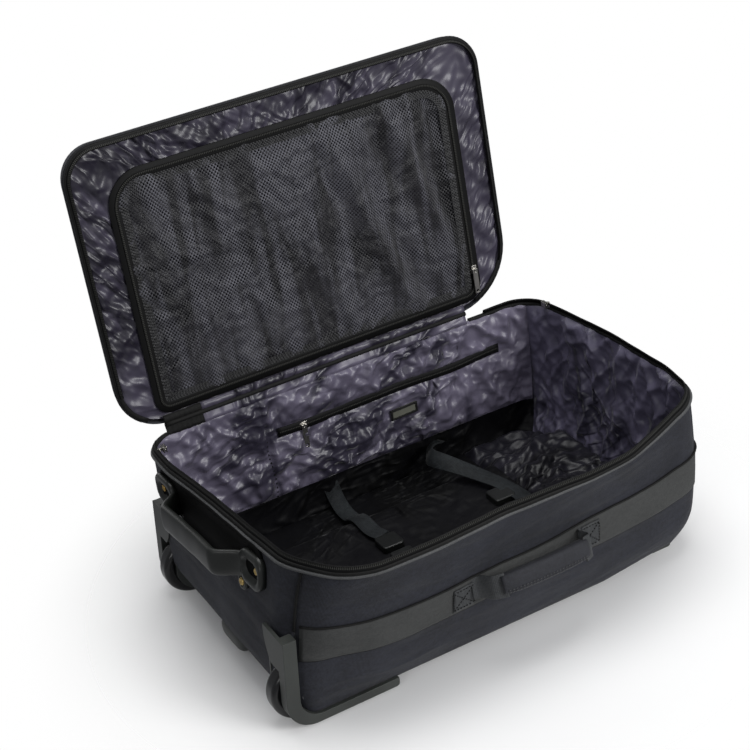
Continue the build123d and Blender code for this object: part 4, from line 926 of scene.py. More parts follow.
def let_go():
    """Runs the cloth of every slack sheet at once and keeps the shape, without the simulation."""
    scene = bpy.context.scene
    for number, job in enumerate(slack_jobs):
        piece, points = job["piece"], job["points"]
        seed = noisy(points, 16.0, number) + 0.6 * noisy(points, 40.0, number + 0.5)
        start = points + (1.2 * seed * (1 - job["pins"]))[..., None] * job["normal"]
        piece.data.vertices.foreach_set("co", (start * MM).ravel())
        group = piece.vertex_groups.new(name="held")
        for index in np.flatnonzero(job["pins"].ravel() > 0.5):
            group.add([int(index)], 1.0, "REPLACE")
        cloth = piece.modifiers.new("cloth", "CLOTH")
        settings = cloth.settings
        settings.quality = 5
        settings.mass = 0.12
        settings.tension_stiffness = settings.compression_stiffness = 12
        settings.shear_stiffness = 4
        settings.bending_stiffness = 0.05
        settings.tension_damping = settings.compression_damping = settings.shear_damping = 8
        settings.vertex_group_mass = "held"
        settings.shrink_min = -job["growth"]
        settings.effector_weights.gravity = 0
        cloth.collision_settings.use_collision = False
        cloth.point_cache.frame_start, cloth.point_cache.frame_end = 1, CLOTH_FRAMES
    for step in range(1, CLOTH_FRAMES + 1):
        scene.frame_set(step)
    graph = bpy.context.evaluated_depsgraph_get()
    for job in slack_jobs:
        piece, points, normal = job["piece"], job["points"], job["normal"]
        shape = np.empty(points.size)
        piece.evaluated_get(graph).data.vertices.foreach_get("co", shape)
        moved = shape.reshape(points.shape) / MM - points
        piece.modifiers.clear()
        rise = (moved * normal).sum(axis=-1)
        into = np.where(rise > 0, eased(rise, job["inward"]), eased(rise, job["outward"]))
        slide = moved - rise[..., None] * normal
        length = np.linalg.norm(slide, axis=-1)[..., None] + 1e-9
        slide = slide * np.minimum(1, 3.0 / length)
        final = points + slide + (into + job["raised"])[..., None] * normal
        piece.data.vertices.foreach_set("co", (final * MM).ravel())
        piece.data.update()
        subdivide(piece)
        job["place"](piece)
    scene.frame_set(1)


# outline of the pocket's zip, on the lid
NET = dict(low=15.0, high=366.0, half=268.0, corner=52.0, feet=(20.0, 26.0), shift=2.0)


def fix_to_lid(node):
    """How a let-go sheet is fixed to the lid."""
    return lambda piece: [fix(piece, "lid", [node])]


# lid border: satin between the lid's edge and the pocket's zip, gathered at both
outer_edge, inner_edge = lid_outline(5, count=130), lid_outline(4, count=130, **NET)
border_rows, border_held = [], []
for share in np.linspace(0, 1, 13):
    edge = outer_edge * (1 - share) + inner_edge * share
    border_rows.append(lid_at(*edge.T, -3.5 - 2.5 * math.sin(math.pi * share)))
    # along the hinge the border is a narrow strip sewn flat
    border_held.append(edge[:, 1] < 22)
border_held = np.array(border_held, float)
border_held[0] = border_held[-3:] = 1
slack_sheet(
    "lid_satin_border", border_rows, lid_satin, 0.08, 4.0, 3.0, fix_to_lid("lid_facing"),
    (640, 416), ["lid_binding", "net_frame_band"], "gathered", border_held, closed=True,
    creases=[(3.5, 20, 60, 0.35), (2.0, 11, 40, -0.2)], area=0.084,
)


def round_off(aa, bb, half_a, half_b, corner):
    """Draws the corners of a square grid in, so that its outline is a rounded rectangle."""
    past_a = np.clip(np.abs(aa) - (half_a - corner), 0, corner)
    past_b = np.clip(np.abs(bb) - (half_b - corner), 0, corner)
    both = (past_a > 0) & (past_b > 0)
    fit = np.where(both, np.maximum(past_a, past_b) / (np.hypot(past_a, past_b) + 1e-9), 1.0)
    return aa - np.sign(aa) * past_a * (1 - fit), bb - np.sign(bb) * past_b * (1 - fit)


def net_sheet():
    """Net inside the zip. Its corners are drawn in so that the sheet stays under the tape."""
    half, low, high, corner = 259.0, 23.0, 357.0, 42.0
    mid = (low + high) / 2
    aa, bb = np.meshgrid(np.linspace(-half, half, 132), np.linspace(low, high, 88))
    foot = np.clip((mid - bb) / mid, 0, 1) > 0.02
    rounded_a, rounded_b = round_off(aa, bb - mid, half, high - mid, corner)
    aa, bb = np.where(foot, aa, rounded_a), np.where(foot, bb, rounded_b + mid)
    edge = np.minimum(np.minimum(aa + half, half - aa), np.minimum(bb - low, high - bb))
    # the net hangs in long soft folds, deepest towards the top end
    pull = np.clip((aa + 40) / 260, 0, 1) * np.clip(edge / 40, 0, 1)
    lean = aa + 0.28 * (bb - 180)
    folds = np.sin(lean / 15.0 + 1.2 * np.sin(bb / 95.0)) + 0.6 * np.sin(lean / 8.3 + bb / 120.0)
    depth = -3.4 + 3.0 * (1 - np.exp(-edge / 30.0)) + 7.0 * pull * folds
    return lid_at(aa + NET["shift"], bb, depth)


slack_sheet(
    "net_pocket", net_sheet(), pocket_net, 0.035, 9.0, 5.0, fix_to_lid("mesh_panel"),
    (560, 360), ["net_frame_band"], "gathered",
)
lid_trim("net_frame_band", 7.0, -2.2, flat_profile(-0.8, 0.8, -12.0, 10.0, 0.3), zip_weave,
         "zip_tape_weave", ["mesh_zip_frame"], **NET)
# the net's own edge, doubled over and gathered beside the zip
ruffle_rows = []
for share in np.linspace(0, 1, 6):
    edge = lid_outline(13 + 11 * share, count=150, **NET)
    along = np.arange(len(edge))
    wave = (0.4 + 0.8 * math.sin(math.pi * share)) * np.sin(along * 1.9 + 2.0 * np.sin(along / 9.0))
    ruffle_rows.append(lid_at(*edge.T, -0.8 + wave))
ruffle = subdivide(sheet_mesh("net_ruffle", ruffle_rows, doubled_net, closed=True))
fix(ruffle, "lid")
lid_trim("net_frame_coil", 7.0, -1.2, round_profile(1.8, 8, 1.2), zip_weave, "zip_tape_weave", **NET)

# ---------- linings of the case
INNER = 4.5                                 # from the wall's outer face to its lining


def wall_lining(
    name, sides, low, high, rows, material, growth, inward, cut, belly, nodes=(), sewn=(), creases=(),
):
    """Lining that hangs inside the wall from `high` to `low`. It bellies in at its foot."""
    z = np.linspace(high, low, rows)
    share = (high - z) / (high - low)
    columns = columns_of(*sides)
    grid = np.concatenate([case_wall([h], INNER + belly * s ** 2.5, columns) for h, s in zip(z, share)])
    pins = edges_held(grid)
    for x0, x1, z0, z1 in sewn:
        pins[(grid[..., 0] > x0) & (grid[..., 0] < x1) & (grid[..., 2] > z0) & (grid[..., 2] < z1)] = 1
    slack_sheet(
        name, grid, material, growth, inward, 1.0, lambda piece: fix_to_case(piece, nodes),
        cut, ["mouth_binding"], pins=pins, creases=creases,
    )


# zip, label and the seam that closes the pocket's wheel end hold the satin down: (x0, x1, z0, z1)
HELD_BY_SEWING = [(-134, 260, 169, 187), (44, 112, 118, 156), (-150, -146, 76, 200)]
wall_lining("hinge_wall_satin", ["hinge"], 78, 242, 46, lining_satin, 0.05, 8.0, (620, 180), 9.0,
            ["body_lining"], HELD_BY_SEWING, [(7.0, 34, 110, 0.7), (5.0, 22, 60, -0.5), (2.5, 12, 40, 1.2)])
wall_lining("top_wall_satin", ["top"], 22, 242, 60, end_satin, 0.05, 8.0, (400, 250), 6.0,
            creases=[(9.0, 40, 200, 0.25), (6.0, 28, 70, -0.7), (3.0, 14, 50, 0.9)])
wall_lining("near_wall_satin", ["near"], 22, 242, 40, lining_satin, 0.03, 5.0, (620, 250), 4.0)
wall_lining("wheel_wall_satin", ["wheel"], 22, 242, 50, lining_satin, 0.03, 5.0, (400, 250), 4.0)
# painted shade: the foot of the hinge wall, below the pocket, is lined with the almost black floor satin
wall_lining("hinge_foot_lining", ["hinge"], 21, 96, 20, floor_satin, 0.03, 5.0, (620, 80), 2.0)


SHADED_FROM = 0.78                          # share of the floor's length where the crumpled satin starts


def floor_grid(columns):
    """Grid over the floor, with the raised cover over the trolley tubes along its middle."""
    half_x, half_y, middle, corner, step = 312.0, 198.0, -4.0, 60.0, 5.0
    x = np.linspace(-half_x, half_x, int(2 * half_x / step))
    y = np.linspace(-half_y, half_y, int(2 * half_y / step))
    xx, yy = np.meshgrid(x, y)
    xx, yy = round_off(xx, yy, half_x, half_y, corner)
    raised = 1 / (1 + np.exp((np.abs(yy) - 118) / 4.0))
    grid = np.stack([xx + middle, yy, 22.0 + 24.0 * raised], axis=-1)
    return grid[:, columns(int(SHADED_FROM * len(x)))]


def floor_piece(name, columns, material, growth, inward, cut, nodes=(), creases=()):
    """Satin laid loose over a stretch of the floor."""
    slack_sheet(
        name, floor_grid(columns), material, growth, inward, 0.5,
        lambda piece: fix_to_case(piece, nodes), cut, ["base_board"], "laid",
        creases=creases,
    )


floor_piece("floor_lining", lambda n: slice(0, n + 1), floor_satin, 0.02, 2.0, (500, 440), ["tube_cover"])
floor_piece("floor_satin_top_end", lambda n: slice(n, None), shaded_satin, 0.08, 9.0, (170, 440),
            creases=[(11.0, 44, 120, 1.9), (7.0, 30, 70, 0.6), (3.0, 16, 40, -0.9)])

# inner box of a wheel housing: its middle and half sizes
WELL_X, WELL_Y, WELL_HALF_X, WELL_HALF_Y = -282.0, 176.0, 30.0, 26.0
WELL_RINGS = (      # height, and how far out from the housing's box
    (26, 1), (40, 1), (60, 1), (88, 0.5), (97, -1), (101, -4), (103, -10), (103.5, -18), (103.5, -25.9),
)


def wheel_well(side, sign):
    """Lining sewn over the inner box of a wheel housing, open at its foot."""
    angle = np.linspace(0, 2 * math.pi, 65)[:-1]
    rows = []
    for z, grow in WELL_RINGS:
        x = np.maximum(WELL_X + (WELL_HALF_X + grow) * squared(np.cos(angle), 0.3), -310)
        y = np.minimum(WELL_Y + (WELL_HALF_Y + grow) * squared(np.sin(angle), 0.3), 198)
        # it stays inside the case's rounded corner, whose centre is at (-264, 152)
        past_x, past_y = np.minimum(x + 264, 0), np.maximum(y - 152, 0)
        far = np.hypot(past_x, past_y)
        fit = np.where((past_x < 0) & (past_y > 0), np.minimum(1, CORNER_R / (far + 1e-9)), 1.0)
        x, y = x - past_x * (1 - fit), y - past_y * (1 - fit)
        rows.append(np.stack([x, sign * y, z + 0 * angle], axis=-1))
    piece = sheet_mesh("wheel_well_lining_" + side, rows, lining_satin, closed=True)
    weld(piece)
    fix(piece, "case")


wheel_well("near", -1)
wheel_well("far", 1)


def flat_floor(name, z, inset, material, node):
    """Flat sheet across the foot of the walls."""
    foot = case_wall([FLOOR_Z], inset)[0]
    middle = np.array([-6.0, 0, 0])
    rows = np.stack([middle + (foot - middle) * (1 - t) for t in (0, 0.02, 0.2, 0.45, 0.7, 0.9, 1.0)])
    rows[..., 2] = z
    sheet = sheet_mesh(name, rows, material, closed=True)
    weld(sheet)
    fix(thicken(sheet, 1.6, 0.0), "case", [node])


flat_floor("base_cloth", 16.2, 0.3, outer_weave, "back_panel")
flat_floor("base_board", 17.6, 6.0, board_plastic, "back_board")


def ribbon(name, path, across, width, thickness, material, body, nodes, samples):
    """A woven strip along a smoothed path; `across` is its width direction at each given point."""
    path, across = np.asarray(path, float), np.asarray(across, float)
    t = run_of(path)
    fine = np.linspace(0, t[-1], samples)
    spread = t[-1] / len(path) * 0.28
    kernel = np.exp(-0.5 * ((fine[:, None] - fine[None, :]) / spread) ** 2)
    kernel[0], kernel[-1] = 0, 0
    kernel[0, 0] = kernel[-1, -1] = 1
    kernel /= kernel.sum(axis=1, keepdims=True)
    smooth, side = (
        kernel @ np.stack([np.interp(fine, t, way[:, k]) for k in range(3)], axis=-1)
        for way in (path, across)
    )
    ahead = np.gradient(smooth, axis=0)
    ahead /= np.linalg.norm(ahead, axis=1)[:, None]
    side /= np.linalg.norm(side, axis=1)[:, None]
    side -= (side * ahead).sum(axis=1)[:, None] * ahead
    side /= np.linalg.norm(side, axis=1)[:, None]
    strip = flat_profile(-thickness / 2, thickness / 2, -width / 2, width / 2, thickness * 0.3)
    piece = sweep(name, smooth, side, np.cross(ahead, side), strip, material)
    if body:
        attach(piece, body)
    if nodes:
        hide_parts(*nodes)
    return piece


def stitches(name, runs, out, body, material, length, gap, thick):
    """Rows of thread along runs of points; `out` is the way the cloth faces."""
    out = np.asarray(out, float) / np.linalg.norm(out)
    verts, faces = [], []
    for run in runs:
        run = np.asarray(run, float)
        far = run_of(run)
        for start in np.arange(0.0, far[-1] - length, length + gap):
            ends = (start, start + length)
            a, b = (np.array([np.interp(end, far, run[:, k]) for k in range(3)]) for end in ends)
            side = np.cross((b - a) / np.linalg.norm(b - a), out) * thick
            base, mid = len(verts), (a + b) / 2
            verts += [a, mid + side, b, mid - side, mid + out * thick * 1.3, mid - out * thick]
            for p, q in ((0, 1), (1, 2), (2, 3), (3, 0)):
                faces += [(base + p, base + q, base + 4), (base + q, base + p, base + 5)]
    mesh = bpy.data.meshes.new(name)
    mesh.from_pydata((np.array(verts) * MM).tolist(), [], faces)
    mesh.uv_layers.new(name="cloth")
    mesh.shade_smooth()
    mesh.materials.append(material)
    piece = bpy.data.objects.new(name, mesh)
    bpy.context.scene.collection.objects.link(piece)
    return fix(piece, body)


# ---------- pocket in the hinge wall
POCKET_ZIP_Z, POCKET_SEAM_X = 178.0, -148.0


def pocket_zip(name, x0, x1, proud, profile, nodes=()):
    """A run of the pocket's zip, `proud` mm off the lining, that wanders a little with the satin."""
    x = np.linspace(x0, x1, 60)
    y = HALF_WID - INNER - proud - 1.5 * np.sin(x / 23.0)
    path = np.stack([x, y, POCKET_ZIP_Z + 1.5 * np.sin(x / 31.0)], axis=-1)
    fix(sweep(name, path, UP, -ACROSS, profile, zip_weave), "case", nodes)


def pocket_seam():
    """Seam that closes the pocket's wheel end, down the belly of the satin."""
    z = np.linspace(78, 206, 40)
    y = HALF_WID - INNER - 1.2 - 9 * ((242 - z) / 164) ** 2.5
    seam = np.stack([POCKET_SEAM_X + 2 * np.sin(z / 14), y, z], axis=-1)
    stitches("pocket_end_seam", [seam], -ACROSS, "case", piping_weave, 4.0, 3.0, 1.2)


def sewn_label():
    """Bare rubber plate with a dark raised rim, sewn to the pocket."""
    middle_x, middle_z, face_y = 78.0, 137.0, HALF_WID - INNER - 5.0
    around = [(-1, -1), (0, -1), (1, -1), (1, 0), (1, 1), (0, 1), (-1, 1), (-1, 0)]

    def ring_at(half_w, half_h, out):
        """Outline of the plate, which is sewn on about one degree askew."""
        return [
            (middle_x + half_w * p, face_y - out, middle_z + half_h * q + 0.02 * half_w * p)
            for p, q in around
        ]

    steps = ((23, 8.5, 0), (22.6, 8.1, 1.4), (21.8, 7.3, 1.7), (20.9, 6.4, 1.2), (10, 3, 1.1), (1, 0.5, 1.1))
    rings = [ring_at(*step) for step in steps]
    plate = sheet_mesh("bare_label_plate", rings, label_rubber, closed=True, shade=False)
    weld(plate, cap=True)
    fix(plate, "case", ["label_plate"])
    away = np.array([(p, 0, q) for p, q in around], float)
    edge = flat_profile(-1.2, 1.5, -1.8, 1.0, 0.3)
    rim = sweep("label_dark_rim", ring_at(21.9, 7.4, 1.7), away, -ACROSS, edge, piping_weave, closed=True)
    fix(rim, "case")


pocket_zip("pocket_zip_band", -130, 256, 2.6, flat_profile(-0.6, 0.6, -7.5, 7.5, 0.3), ["pocket_zip_tape"])
pocket_zip("pocket_zip_coil", -128, 254, 3.4, round_profile(1.3, 8))
pocket_seam()
sewn_label()


# ---------- hinge strip
STRIP_SEAM_X = -236                         # where the satin of the strip ends and its black end starts
# rows of the strip: (y, z) between rim and hinge line, then (up, out) on the lid
STRIP_RIM = [(201.5, 240.0), (203.0, 245.0), (204.6, 249.5), (206.0, 252.5), (207.6, 256.0)]
STRIP_LID = [(-1.0, 1.0), (3.0, 3.4), (7.5, 3.2), (12.0, 0.4)]


def hinge_strip(word, x, wave, case_cloth, lid_cloth, nodes=()):
    """Cloth that joins the rim to the lid. Its lower half stays where it is, and its upper half turns with
    the lid."""
    grid = [np.stack([x, y - np.abs(wave) * 0.6, z + 0.4 * wave], axis=-1) for y, z in STRIP_RIM]
    lower = thicken(sheet_mesh("hinge_strip_" + word, grid, case_cloth), 1.4, 0.0)
    if nodes:
        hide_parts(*nodes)
    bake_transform(lower)
    grid = [lid_at(x - HINGE[0], b + 0 * x, d + 0.5 * np.abs(wave)) for b, d in STRIP_LID]
    upper = thicken(sheet_mesh("hinge_band_" + word, grid, lid_cloth), 1.4, 0.0)
    fix(upper, "lid")


x = np.linspace(STRIP_SEAM_X, 205, 80)
hinge_strip("cloth", x, 0.8 * np.sin(x / 19.0), lining_satin, lid_satin, ["hinge_strip"])
x = np.linspace(-294, STRIP_SEAM_X, 30)
hinge_strip("end", x, 1.2 * np.sin(x / 2.4), piping_weave, piping_weave)
x = np.linspace(-292, 205, 60)
welt = np.stack([x, 204.0 + 0 * x, 256.2 + 0 * x], axis=-1)
welt = sweep("hinge_line_welt", welt, ACROSS, UP, round_profile(3.4), piping_weave)
fix(welt, "lid_edge", ["hinge_welt"])


# ---------- packing straps
def strap(name, x, points, sideways=None, nodes=()):
    """Webbing that lies over the floor through the points, given from x on; `sideways` turns its width."""
    path = [(x + dx, y, z) for dx, y, z in points]
    sideways = sideways or [(1, 0, 0)] * len(points)
    ribbon(name, path, sideways, 26, 1.5, strap_weave, "case", nodes, 120)


strap(
    "packing_strap_wheel_side", -60,
    [(0, 203, 60), (4, 197, 34), (2, 170, 26), (0, 140, 30), (-2, 122, 44), (-4, 100, 52),
     (-6, 60, 52), (0, 40, 53)],
    nodes=["packing_straps"],
)
strap(
    "packing_strap_top_side", 130,
    [(0, 203, 62), (-14, 192, 60), (-34, 170, 66), (-44, 150, 72), (-30, 118, 72), (-6, 84, 62),
     (14, 44, 56), (22, 0, 54), (18, -60, 52), (0, -112, 50), (-4, -150, 27), (0, -200, 26)],
    [(1, 0, 0), (1, .2, .3), (.8, .5, .6), (.6, .5, .8), (.7, .6, .5), (.8, .6, .2), (1, .4, 0)]
    + [(1, 0, 0)] * 5,
)
strap(
    "packing_strap_near_side", -60,
    [(0, -34, 53), (-4, -60, 52), (-8, -100, 51), (-2, -124, 42), (0, -150, 27), (0, -200, 25)],
)


# ---------- grab bar on the wheel end
def end_face_x(y, z):
    """How far out the wheel end's wall stands at each place."""
    y, z = np.broadcast_arrays(np.asarray(y, float), np.asarray(z, float))
    columns = columns_of("wheel")
    found = []
    for yy, zz in zip(y.ravel(), z.ravel()):
        row = case_wall([zz], 0.0, columns)[0]
        order = np.argsort(row[:, 1])
        found.append(np.interp(yy, row[order, 1], row[order, 0]))
    return np.array(found).reshape(y.shape)


def rounded_box(half_y, half_z, corner):
    """Anticlockwise outline of a rounded rectangle, as (y, z)."""
    points = []
    for sy, sz, start in ((1, -1, -90), (1, 1, 0), (-1, 1, 90), (-1, -1, 180)):
        centre_y, centre_z = sy * (half_y - corner), sz * (half_z - corner)
        for turn in np.radians(start + np.linspace(0, 90, 9)):
            points.append((centre_y + corner * math.cos(turn), centre_z + corner * math.sin(turn)))
    return np.array(points)


def plate_on_end(name, y0, z0, steps, material, nodes=()):
    """Moulded plate: outlines (half y, half z, corner, proud) one inside the next, on the end wall."""
    rows = []
    for half_y, half_z, corner, proud in steps:
        edge = rounded_box(half_y, half_z, corner)
        y, z = y0 + edge[:, 0], z0 + edge[:, 1]
        low, high = (end_face_x(y0 + s * steps[0][0] + 0 * z, z) for s in (-1, 1))
        share = (y - y0) / (2 * steps[0][0]) + 0.5
        rows.append(np.stack([low * (1 - share) + high * share - proud, y, z], axis=-1))
    piece = sheet_mesh(name, rows, material, closed=True)
    weld(piece, cap=True)
    fix(piece, "case", nodes)


# outlines of the plates on the end: half y, half z, corner, how far it stands out
TRAY = [
    (142, 32, 20, -1), (142, 32, 20, 3.5), (140.5, 30.5, 19, 5), (138, 28, 17, 5), (136, 26, 16, 3.4),
    (120, 14, 10, 3.2), (60, 5, 4, 3.2),
]
END_BLOCK = [
    (29, 24, 17, 0), (29, 24, 17, 8), (27.5, 22.5, 16, 10), (24, 19, 14, 10.4), (22, 15, 14, 10),
    (20.5, 13.5, 13, 4), (17, 10, 9, 3), (5, 3, 2.5, 3),
]
EAR = [
    (11, 13, 10.5, 0), (11, 13, 10.5, 4), (9.5, 11.5, 9, 5.4), (7, 9, 7, 5.4), (6.2, 7.6, 6, 4.2),
    (2, 2, 1.8, 4.2),
]
SCREW = [       # round, so one half size and corner, then how far out
    (5.2, 5.1, -2), (5.2, 5.1, 1), (4.4, 4.3, 2.2), (2.2, 2.1, 2.6), (1.6, 1.5, 1.4), (0.5, 0.4, 1.4),
]


def grab_bar():
    """Broad rounded bar that thins into its ends and stands off the end wall."""
    t = np.linspace(-1, 1, 61)
    y, z = 101 * t, 201.0 - 3 * np.abs(t) ** 3
    rise = np.clip((1 - np.abs(t)) / 0.34, 0, 1)
    stand = 2 + 31 * rise * rise * (3 - 2 * rise)
    high = 20.5 - 1.5 * np.abs(t) ** 4
    x = end_face_x(y, z)
    rows = []
    for angle in np.linspace(0, 2 * math.pi, 25)[:-1]:
        out = squared(math.cos(angle), 0.6) * (7.5 if math.cos(angle) > 0 else 6.0)
        rows.append(np.stack([x - stand - out, y, z + squared(math.sin(angle), 0.8) * high], axis=-1))
    rows.append(rows[0])
    bar = sheet_mesh("grab_bar_grip", rows, grab_plastic)
    weld(bar, cap=True)
    fix(bar, "case")


# shallow tray behind the bar, then at each end a block with a rim round its oval cup, and an ear below it
plate_on_end("grab_tray", 0, 206, TRAY, tray_plastic, ["grab_bar"])
grab_bar()
for word, side in (("near", -1), ("far", 1)):
    plate_on_end("grab_end_" + word, side * 122, 203, END_BLOCK, grab_plastic)
    plate_on_end("grab_ear_" + word, side * 90, 170, EAR, grab_plastic)
    for kind, y, z, proud in (("end", 132, 205, 4.0), ("ear", 90, 169, 4.6)):
        name = "brass_%s_screw_%s" % (kind, word)
        steps = [(half, half, corner, proud + out) for half, corner, out in SCREW]
        nodes = ["brass_screws"] if (kind, side) == ("end", -1) else []
        plate_on_end(name, side * y, z, steps, screw_brass, nodes)

for index, y in enumerate((-85.0, 85.0)):
    x = np.linspace(-292, 286, 12)
    tube = np.stack([x, y + 0 * x, 32 + 0 * x], axis=-1)
    tube = sweep("outer_tube_%d" % index, tube, ACROSS, UP, round_profile(7.5, 20), tube_metal)
    fix(tube, "case", ["outer_tubes"])


def foot_bracket():
    """Rounded moulding under the wheel end that holds the feet of the trolley tubes."""
    rows = []
    angle = np.linspace(0, 2 * math.pi, 21)[:-1]
    for share in np.linspace(-1, 1, 25):
        swell = max(1 - abs(share) ** 5, 0.0) ** 0.5
        x = -314 + squared(np.cos(angle), 0.7) * (5 + 11 * swell)
        z = 26 + squared(np.sin(angle), 0.7) * (4 + 11 * swell)
        rows.append(np.stack([x, 36.0 * share + 0 * x, z], axis=-1))
    bracket = sheet_mesh("tube_foot_bracket", rows, housing_plastic, closed=True)
    weld(bracket, cap=True)
    fix(bracket, "case", ["base_bracket"])


foot_bracket()


# ---------- carry handles
def on_wall(side, across, z, proud):
    """Point on a wall's drawn shape, `proud` mm out, at a place along it and a height."""
    row = case_wall([z], -proud, columns_of(side))[0]
    axis = 1 if side in ("top", "wheel") else 0
    order = np.argsort(row[:, axis])
    return np.array([np.interp(across, row[order, axis], row[order, k]) for k in range(3)])


PATCH = 38.0                                # side of a square patch of webbing


def draw_in(piece):
    """Gives a near side's sewn-on piece a mesh of its own."""
    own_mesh(piece)


def patch_on_wall(name, side, across, z, nodes=()):
    """Square of webbing sewn flat on a wall, with a boxed cross of stitches."""
    axis = 1 if side == "top" else 0
    rows = case_wall(np.linspace(z - PATCH / 2, z + PATCH / 2, 9), -2.9, columns_of(side))
    keep = np.abs(rows[4, :, axis] - across) <= PATCH / 2
    piece = thicken(sheet_mesh(name, rows[:, keep], webbing_weave), 1.8)
    fix(piece, "case", nodes)
    reach = PATCH / 2 - 3.5
    box = [(-1, -1), (1, -1), (1, 1), (-1, 1)]
    runs = []
    for p, q in [(box[i], box[(i + 1) % 4]) for i in range(4)] + [(box[0], box[2]), (box[1], box[3])]:
        line = np.linspace(p, q, 8) * reach
        runs.append([on_wall(side, across + right, z + rise, 3.3) for right, rise in line])
    out = -ACROSS if side == "near" else ALONG
    sewn = stitches(name + "_box_stitch", runs, out, "case", piping_weave, 3.6, 1.0, 0.9)
    if side == "near":
        draw_in(piece)
        draw_in(sewn)


def loop_grip(name, centre, along, out, up, length, body, nodes):
    """Padded grip: cloth folded round a core and sewn along its lower edge."""
    height, depth = 30, 17

    def place(far, proud, high):
        """Points of the grip: along it, out from the wall and up."""
        return centre + np.outer(far, along) + np.outer(proud, out) + np.outer(high, up)

    t = np.linspace(-1, 1, 40)
    plump = 1 - 0.16 * np.abs(t) ** 6
    bow = 5.0 * (1 - t ** 2)
    rows = []
    for angle in np.linspace(0, 2 * math.pi, 21)[:-1]:
        flat = squared(math.cos(angle), 0.55) * depth / 2
        tall = squared(math.sin(angle), 0.7) * height / 2
        rows.append(place(t * length / 2, bow + flat * plump, tall * plump))
    rows.append(rows[0])
    piece = sheet_mesh(name, rows, grip_weave)
    weld(piece, cap=True)
    fix(piece, body, nodes)
    # the sleeve's edge is sewn twice along its foot
    run = np.linspace(-0.94, 0.94, 30)
    out_by = 5.0 * (1 - run ** 2) + depth / 2 + 0.3
    seams = [
        place(run * length / 2, out_by - lean, 0 * run - drop)
        for drop, lean in ((height * 0.26, 0.2), (height * 0.38, 1.3))
    ]
    return piece, stitches(name + "_seam", seams, out, body, pale_piping, 3.8, 1.2, 0.8)


def webbing_tab(name, path, across, body, nodes):
    """Webbing that joins a patch to an end of a grip; with no body, it is left unattached."""
    return ribbon(name, path, across, 34, 2.2, webbing_weave, body, nodes, 30)


# near side: (patch, end of the grip, way from patch to grip)
SIDE_ENDS = ((-86.0, -44.0, 1), (115.0, 90.0, -1))
for index, (patch, _, _) in enumerate(SIDE_ENDS):
    patch_on_wall("side_patch_%d" % index, "near", patch, 126, [] if index else ["handle_patches"])
for piece in loop_grip(
    "side_grip_sleeve", np.array([23.0, -263.0, 131.0]), ALONG, (0, -0.97, 0.24), (0, 0.24, 0.97),
    134, "side_handle", ["side_handle_grip"],
):
    draw_in(piece)
for index, (patch, end, sign) in enumerate(SIDE_ENDS):
    foot = case_wall([126], -4.0, columns_of("near"))[0]
    base_y = float(np.interp(patch + sign * 16, foot[:, 0], foot[:, 1]))
    path = [
        (patch + sign * 12, base_y - 0.5, 125), (patch + sign * 22, base_y - 3, 125.5),
        (end - sign * 10, -259, 128.5), (end + sign * 6, -266.5, 131),
    ]
    across = [(0, 0.1, 1), (0, 0.12, 1), (0, 0.2, 1), (0, 0.24, 0.97)]
    nodes = [] if index else ["side_handle_webbing"]
    draw_in(webbing_tab("side_tab_%d" % index, path, across, "side_handle", nodes))

# top end: the same handle, hanging a little lower
TOP_ENDS = ((-98.0, 1), (98.0, -1))
for index, (patch, _) in enumerate(TOP_ENDS):
    patch_on_wall("top_patch_%d" % index, "top", patch, 124)
loop_grip(
    "top_grip_sleeve", np.array([363.0, 0.0, 101.0]), ACROSS, (0.97, 0, -0.24), (0.24, 0, 0.97),
    122, "top_handle", ["top_handle_grip"],
)
for index, (patch, sign) in enumerate(TOP_ENDS):
    root, end = on_wall("top", patch + sign * 12, 124, 3.5), np.array([366.5, -sign * 53, 101])
    path = [root, on_wall("top", patch + sign * 22, 122, 6.0), (356, -sign * 68, 108), end]
    across = [(0, 0, 1), (0.1, 0, 1), (0.2, 0, 1), (0.24, 0, 0.97)]
    tab = webbing_tab("top_tab_%d" % index, path, across, None, [] if index else ["top_handle_webbing"])
    # sewn to the wall at one end, into the grip at the other
    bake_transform(tab)


let_go()

# ---------- view, lights, end
place_camera()
place_lamp("key", (1.3, -2.5, 1.5), (0, 0, 0.3), 1.2, 62)
place_lamp("fill", (-2.6, -2.0, 1.6), (0, 0, 0.3), 1.2, 12)
place_lamp("top", (0.3, 0.2, 3.0), (0, 0, 0.2), 1.8, 46)
place_lamp("behind", (-0.4, 3.0, 1.4), (0, 0, 0.4), 2.4, 16)


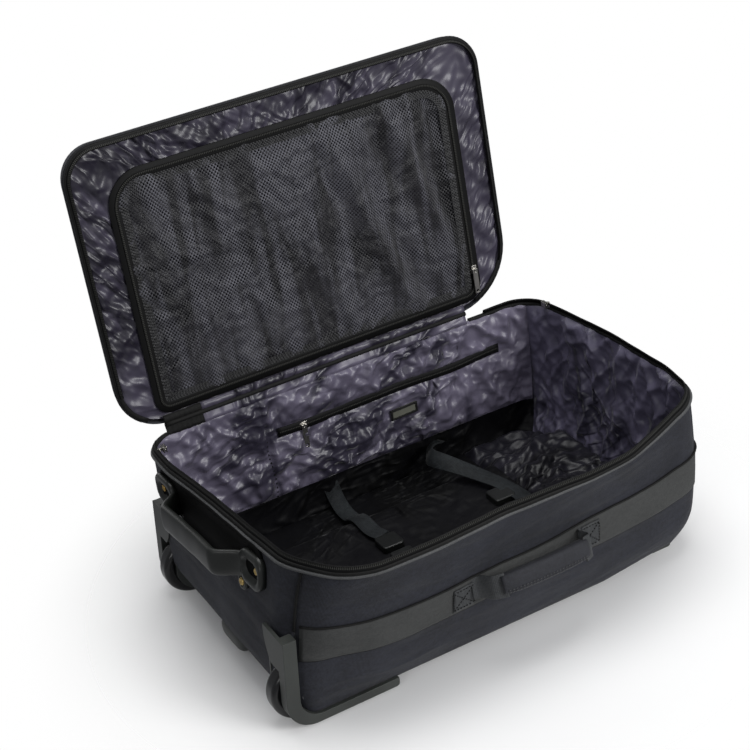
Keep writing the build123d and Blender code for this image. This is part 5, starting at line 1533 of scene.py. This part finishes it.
def make_studio():
    """Plain pale floor, and a plain bright room that shows white behind."""
    world = bpy.data.worlds.new("studio")
    bpy.context.scene.world = world
    world.use_nodes = True
    tree = world.node_tree
    tree.nodes.clear()
    path = put(tree, "ShaderNodeLightPath")
    seen = {0: path.outputs["Is Camera Ray"], 1: path.outputs["Is Transmission Ray"]}
    shown = put(tree, "ShaderNodeMath", seen, operation="MAXIMUM")
    room = put(tree, "ShaderNodeBackground", {"Color": linear("#e9ebef"), "Strength": 0.3})
    white = put(tree, "ShaderNodeBackground", {"Color": linear("#ffffff"), "Strength": 1.0})
    mixed = put(tree, "ShaderNodeMixShader", {0: shown.outputs[0], 1: room.outputs[0], 2: white.outputs[0]})
    put(tree, "ShaderNodeOutputWorld", {"Surface": mixed.outputs[0]})
    bpy.ops.mesh.primitive_plane_add(size=24)
    floor = bpy.context.object
    floor.name = "floor"
    material, tree = finish_material("plain_studio_floor")
    solid = put(tree, "ShaderNodeTexCoord").outputs["Object"]
    speck = put(tree, "ShaderNodeTexNoise", {"Vector": solid, "Scale": 3.0}).outputs["Fac"]
    tones = [(0.3, "#f4f4f4"), (0.7, "#f8f8f8")]
    colour = put(tree, "ShaderNodeValToRGB", {"Fac": speck}, tones).outputs["Color"]
    shader = put(tree, "ShaderNodeBsdfPrincipled", {"Base Color": colour, "Roughness": 0.9})
    away = put(tree, "ShaderNodeVectorMath", {0: solid}, operation="LENGTH").outputs["Value"]
    # the floor fades out before the room's white
    reach = {"Value": away, "From Min": 0.3, "From Max": 0.62}
    fade = put(tree, "ShaderNodeMapRange", reach, interpolation_type="SMOOTHSTEP")
    clear = put(tree, "ShaderNodeBsdfTransparent")
    layers = {0: fade.outputs[0], 1: shader.outputs[0], 2: clear.outputs[0]}
    mixed = put(tree, "ShaderNodeMixShader", layers)
    put(tree, "ShaderNodeOutputMaterial", {"Surface": mixed.outputs[0]})
    floor.data.materials.append(material)


make_studio()
scene = bpy.context.scene
scene.view_settings.view_transform = "Standard"
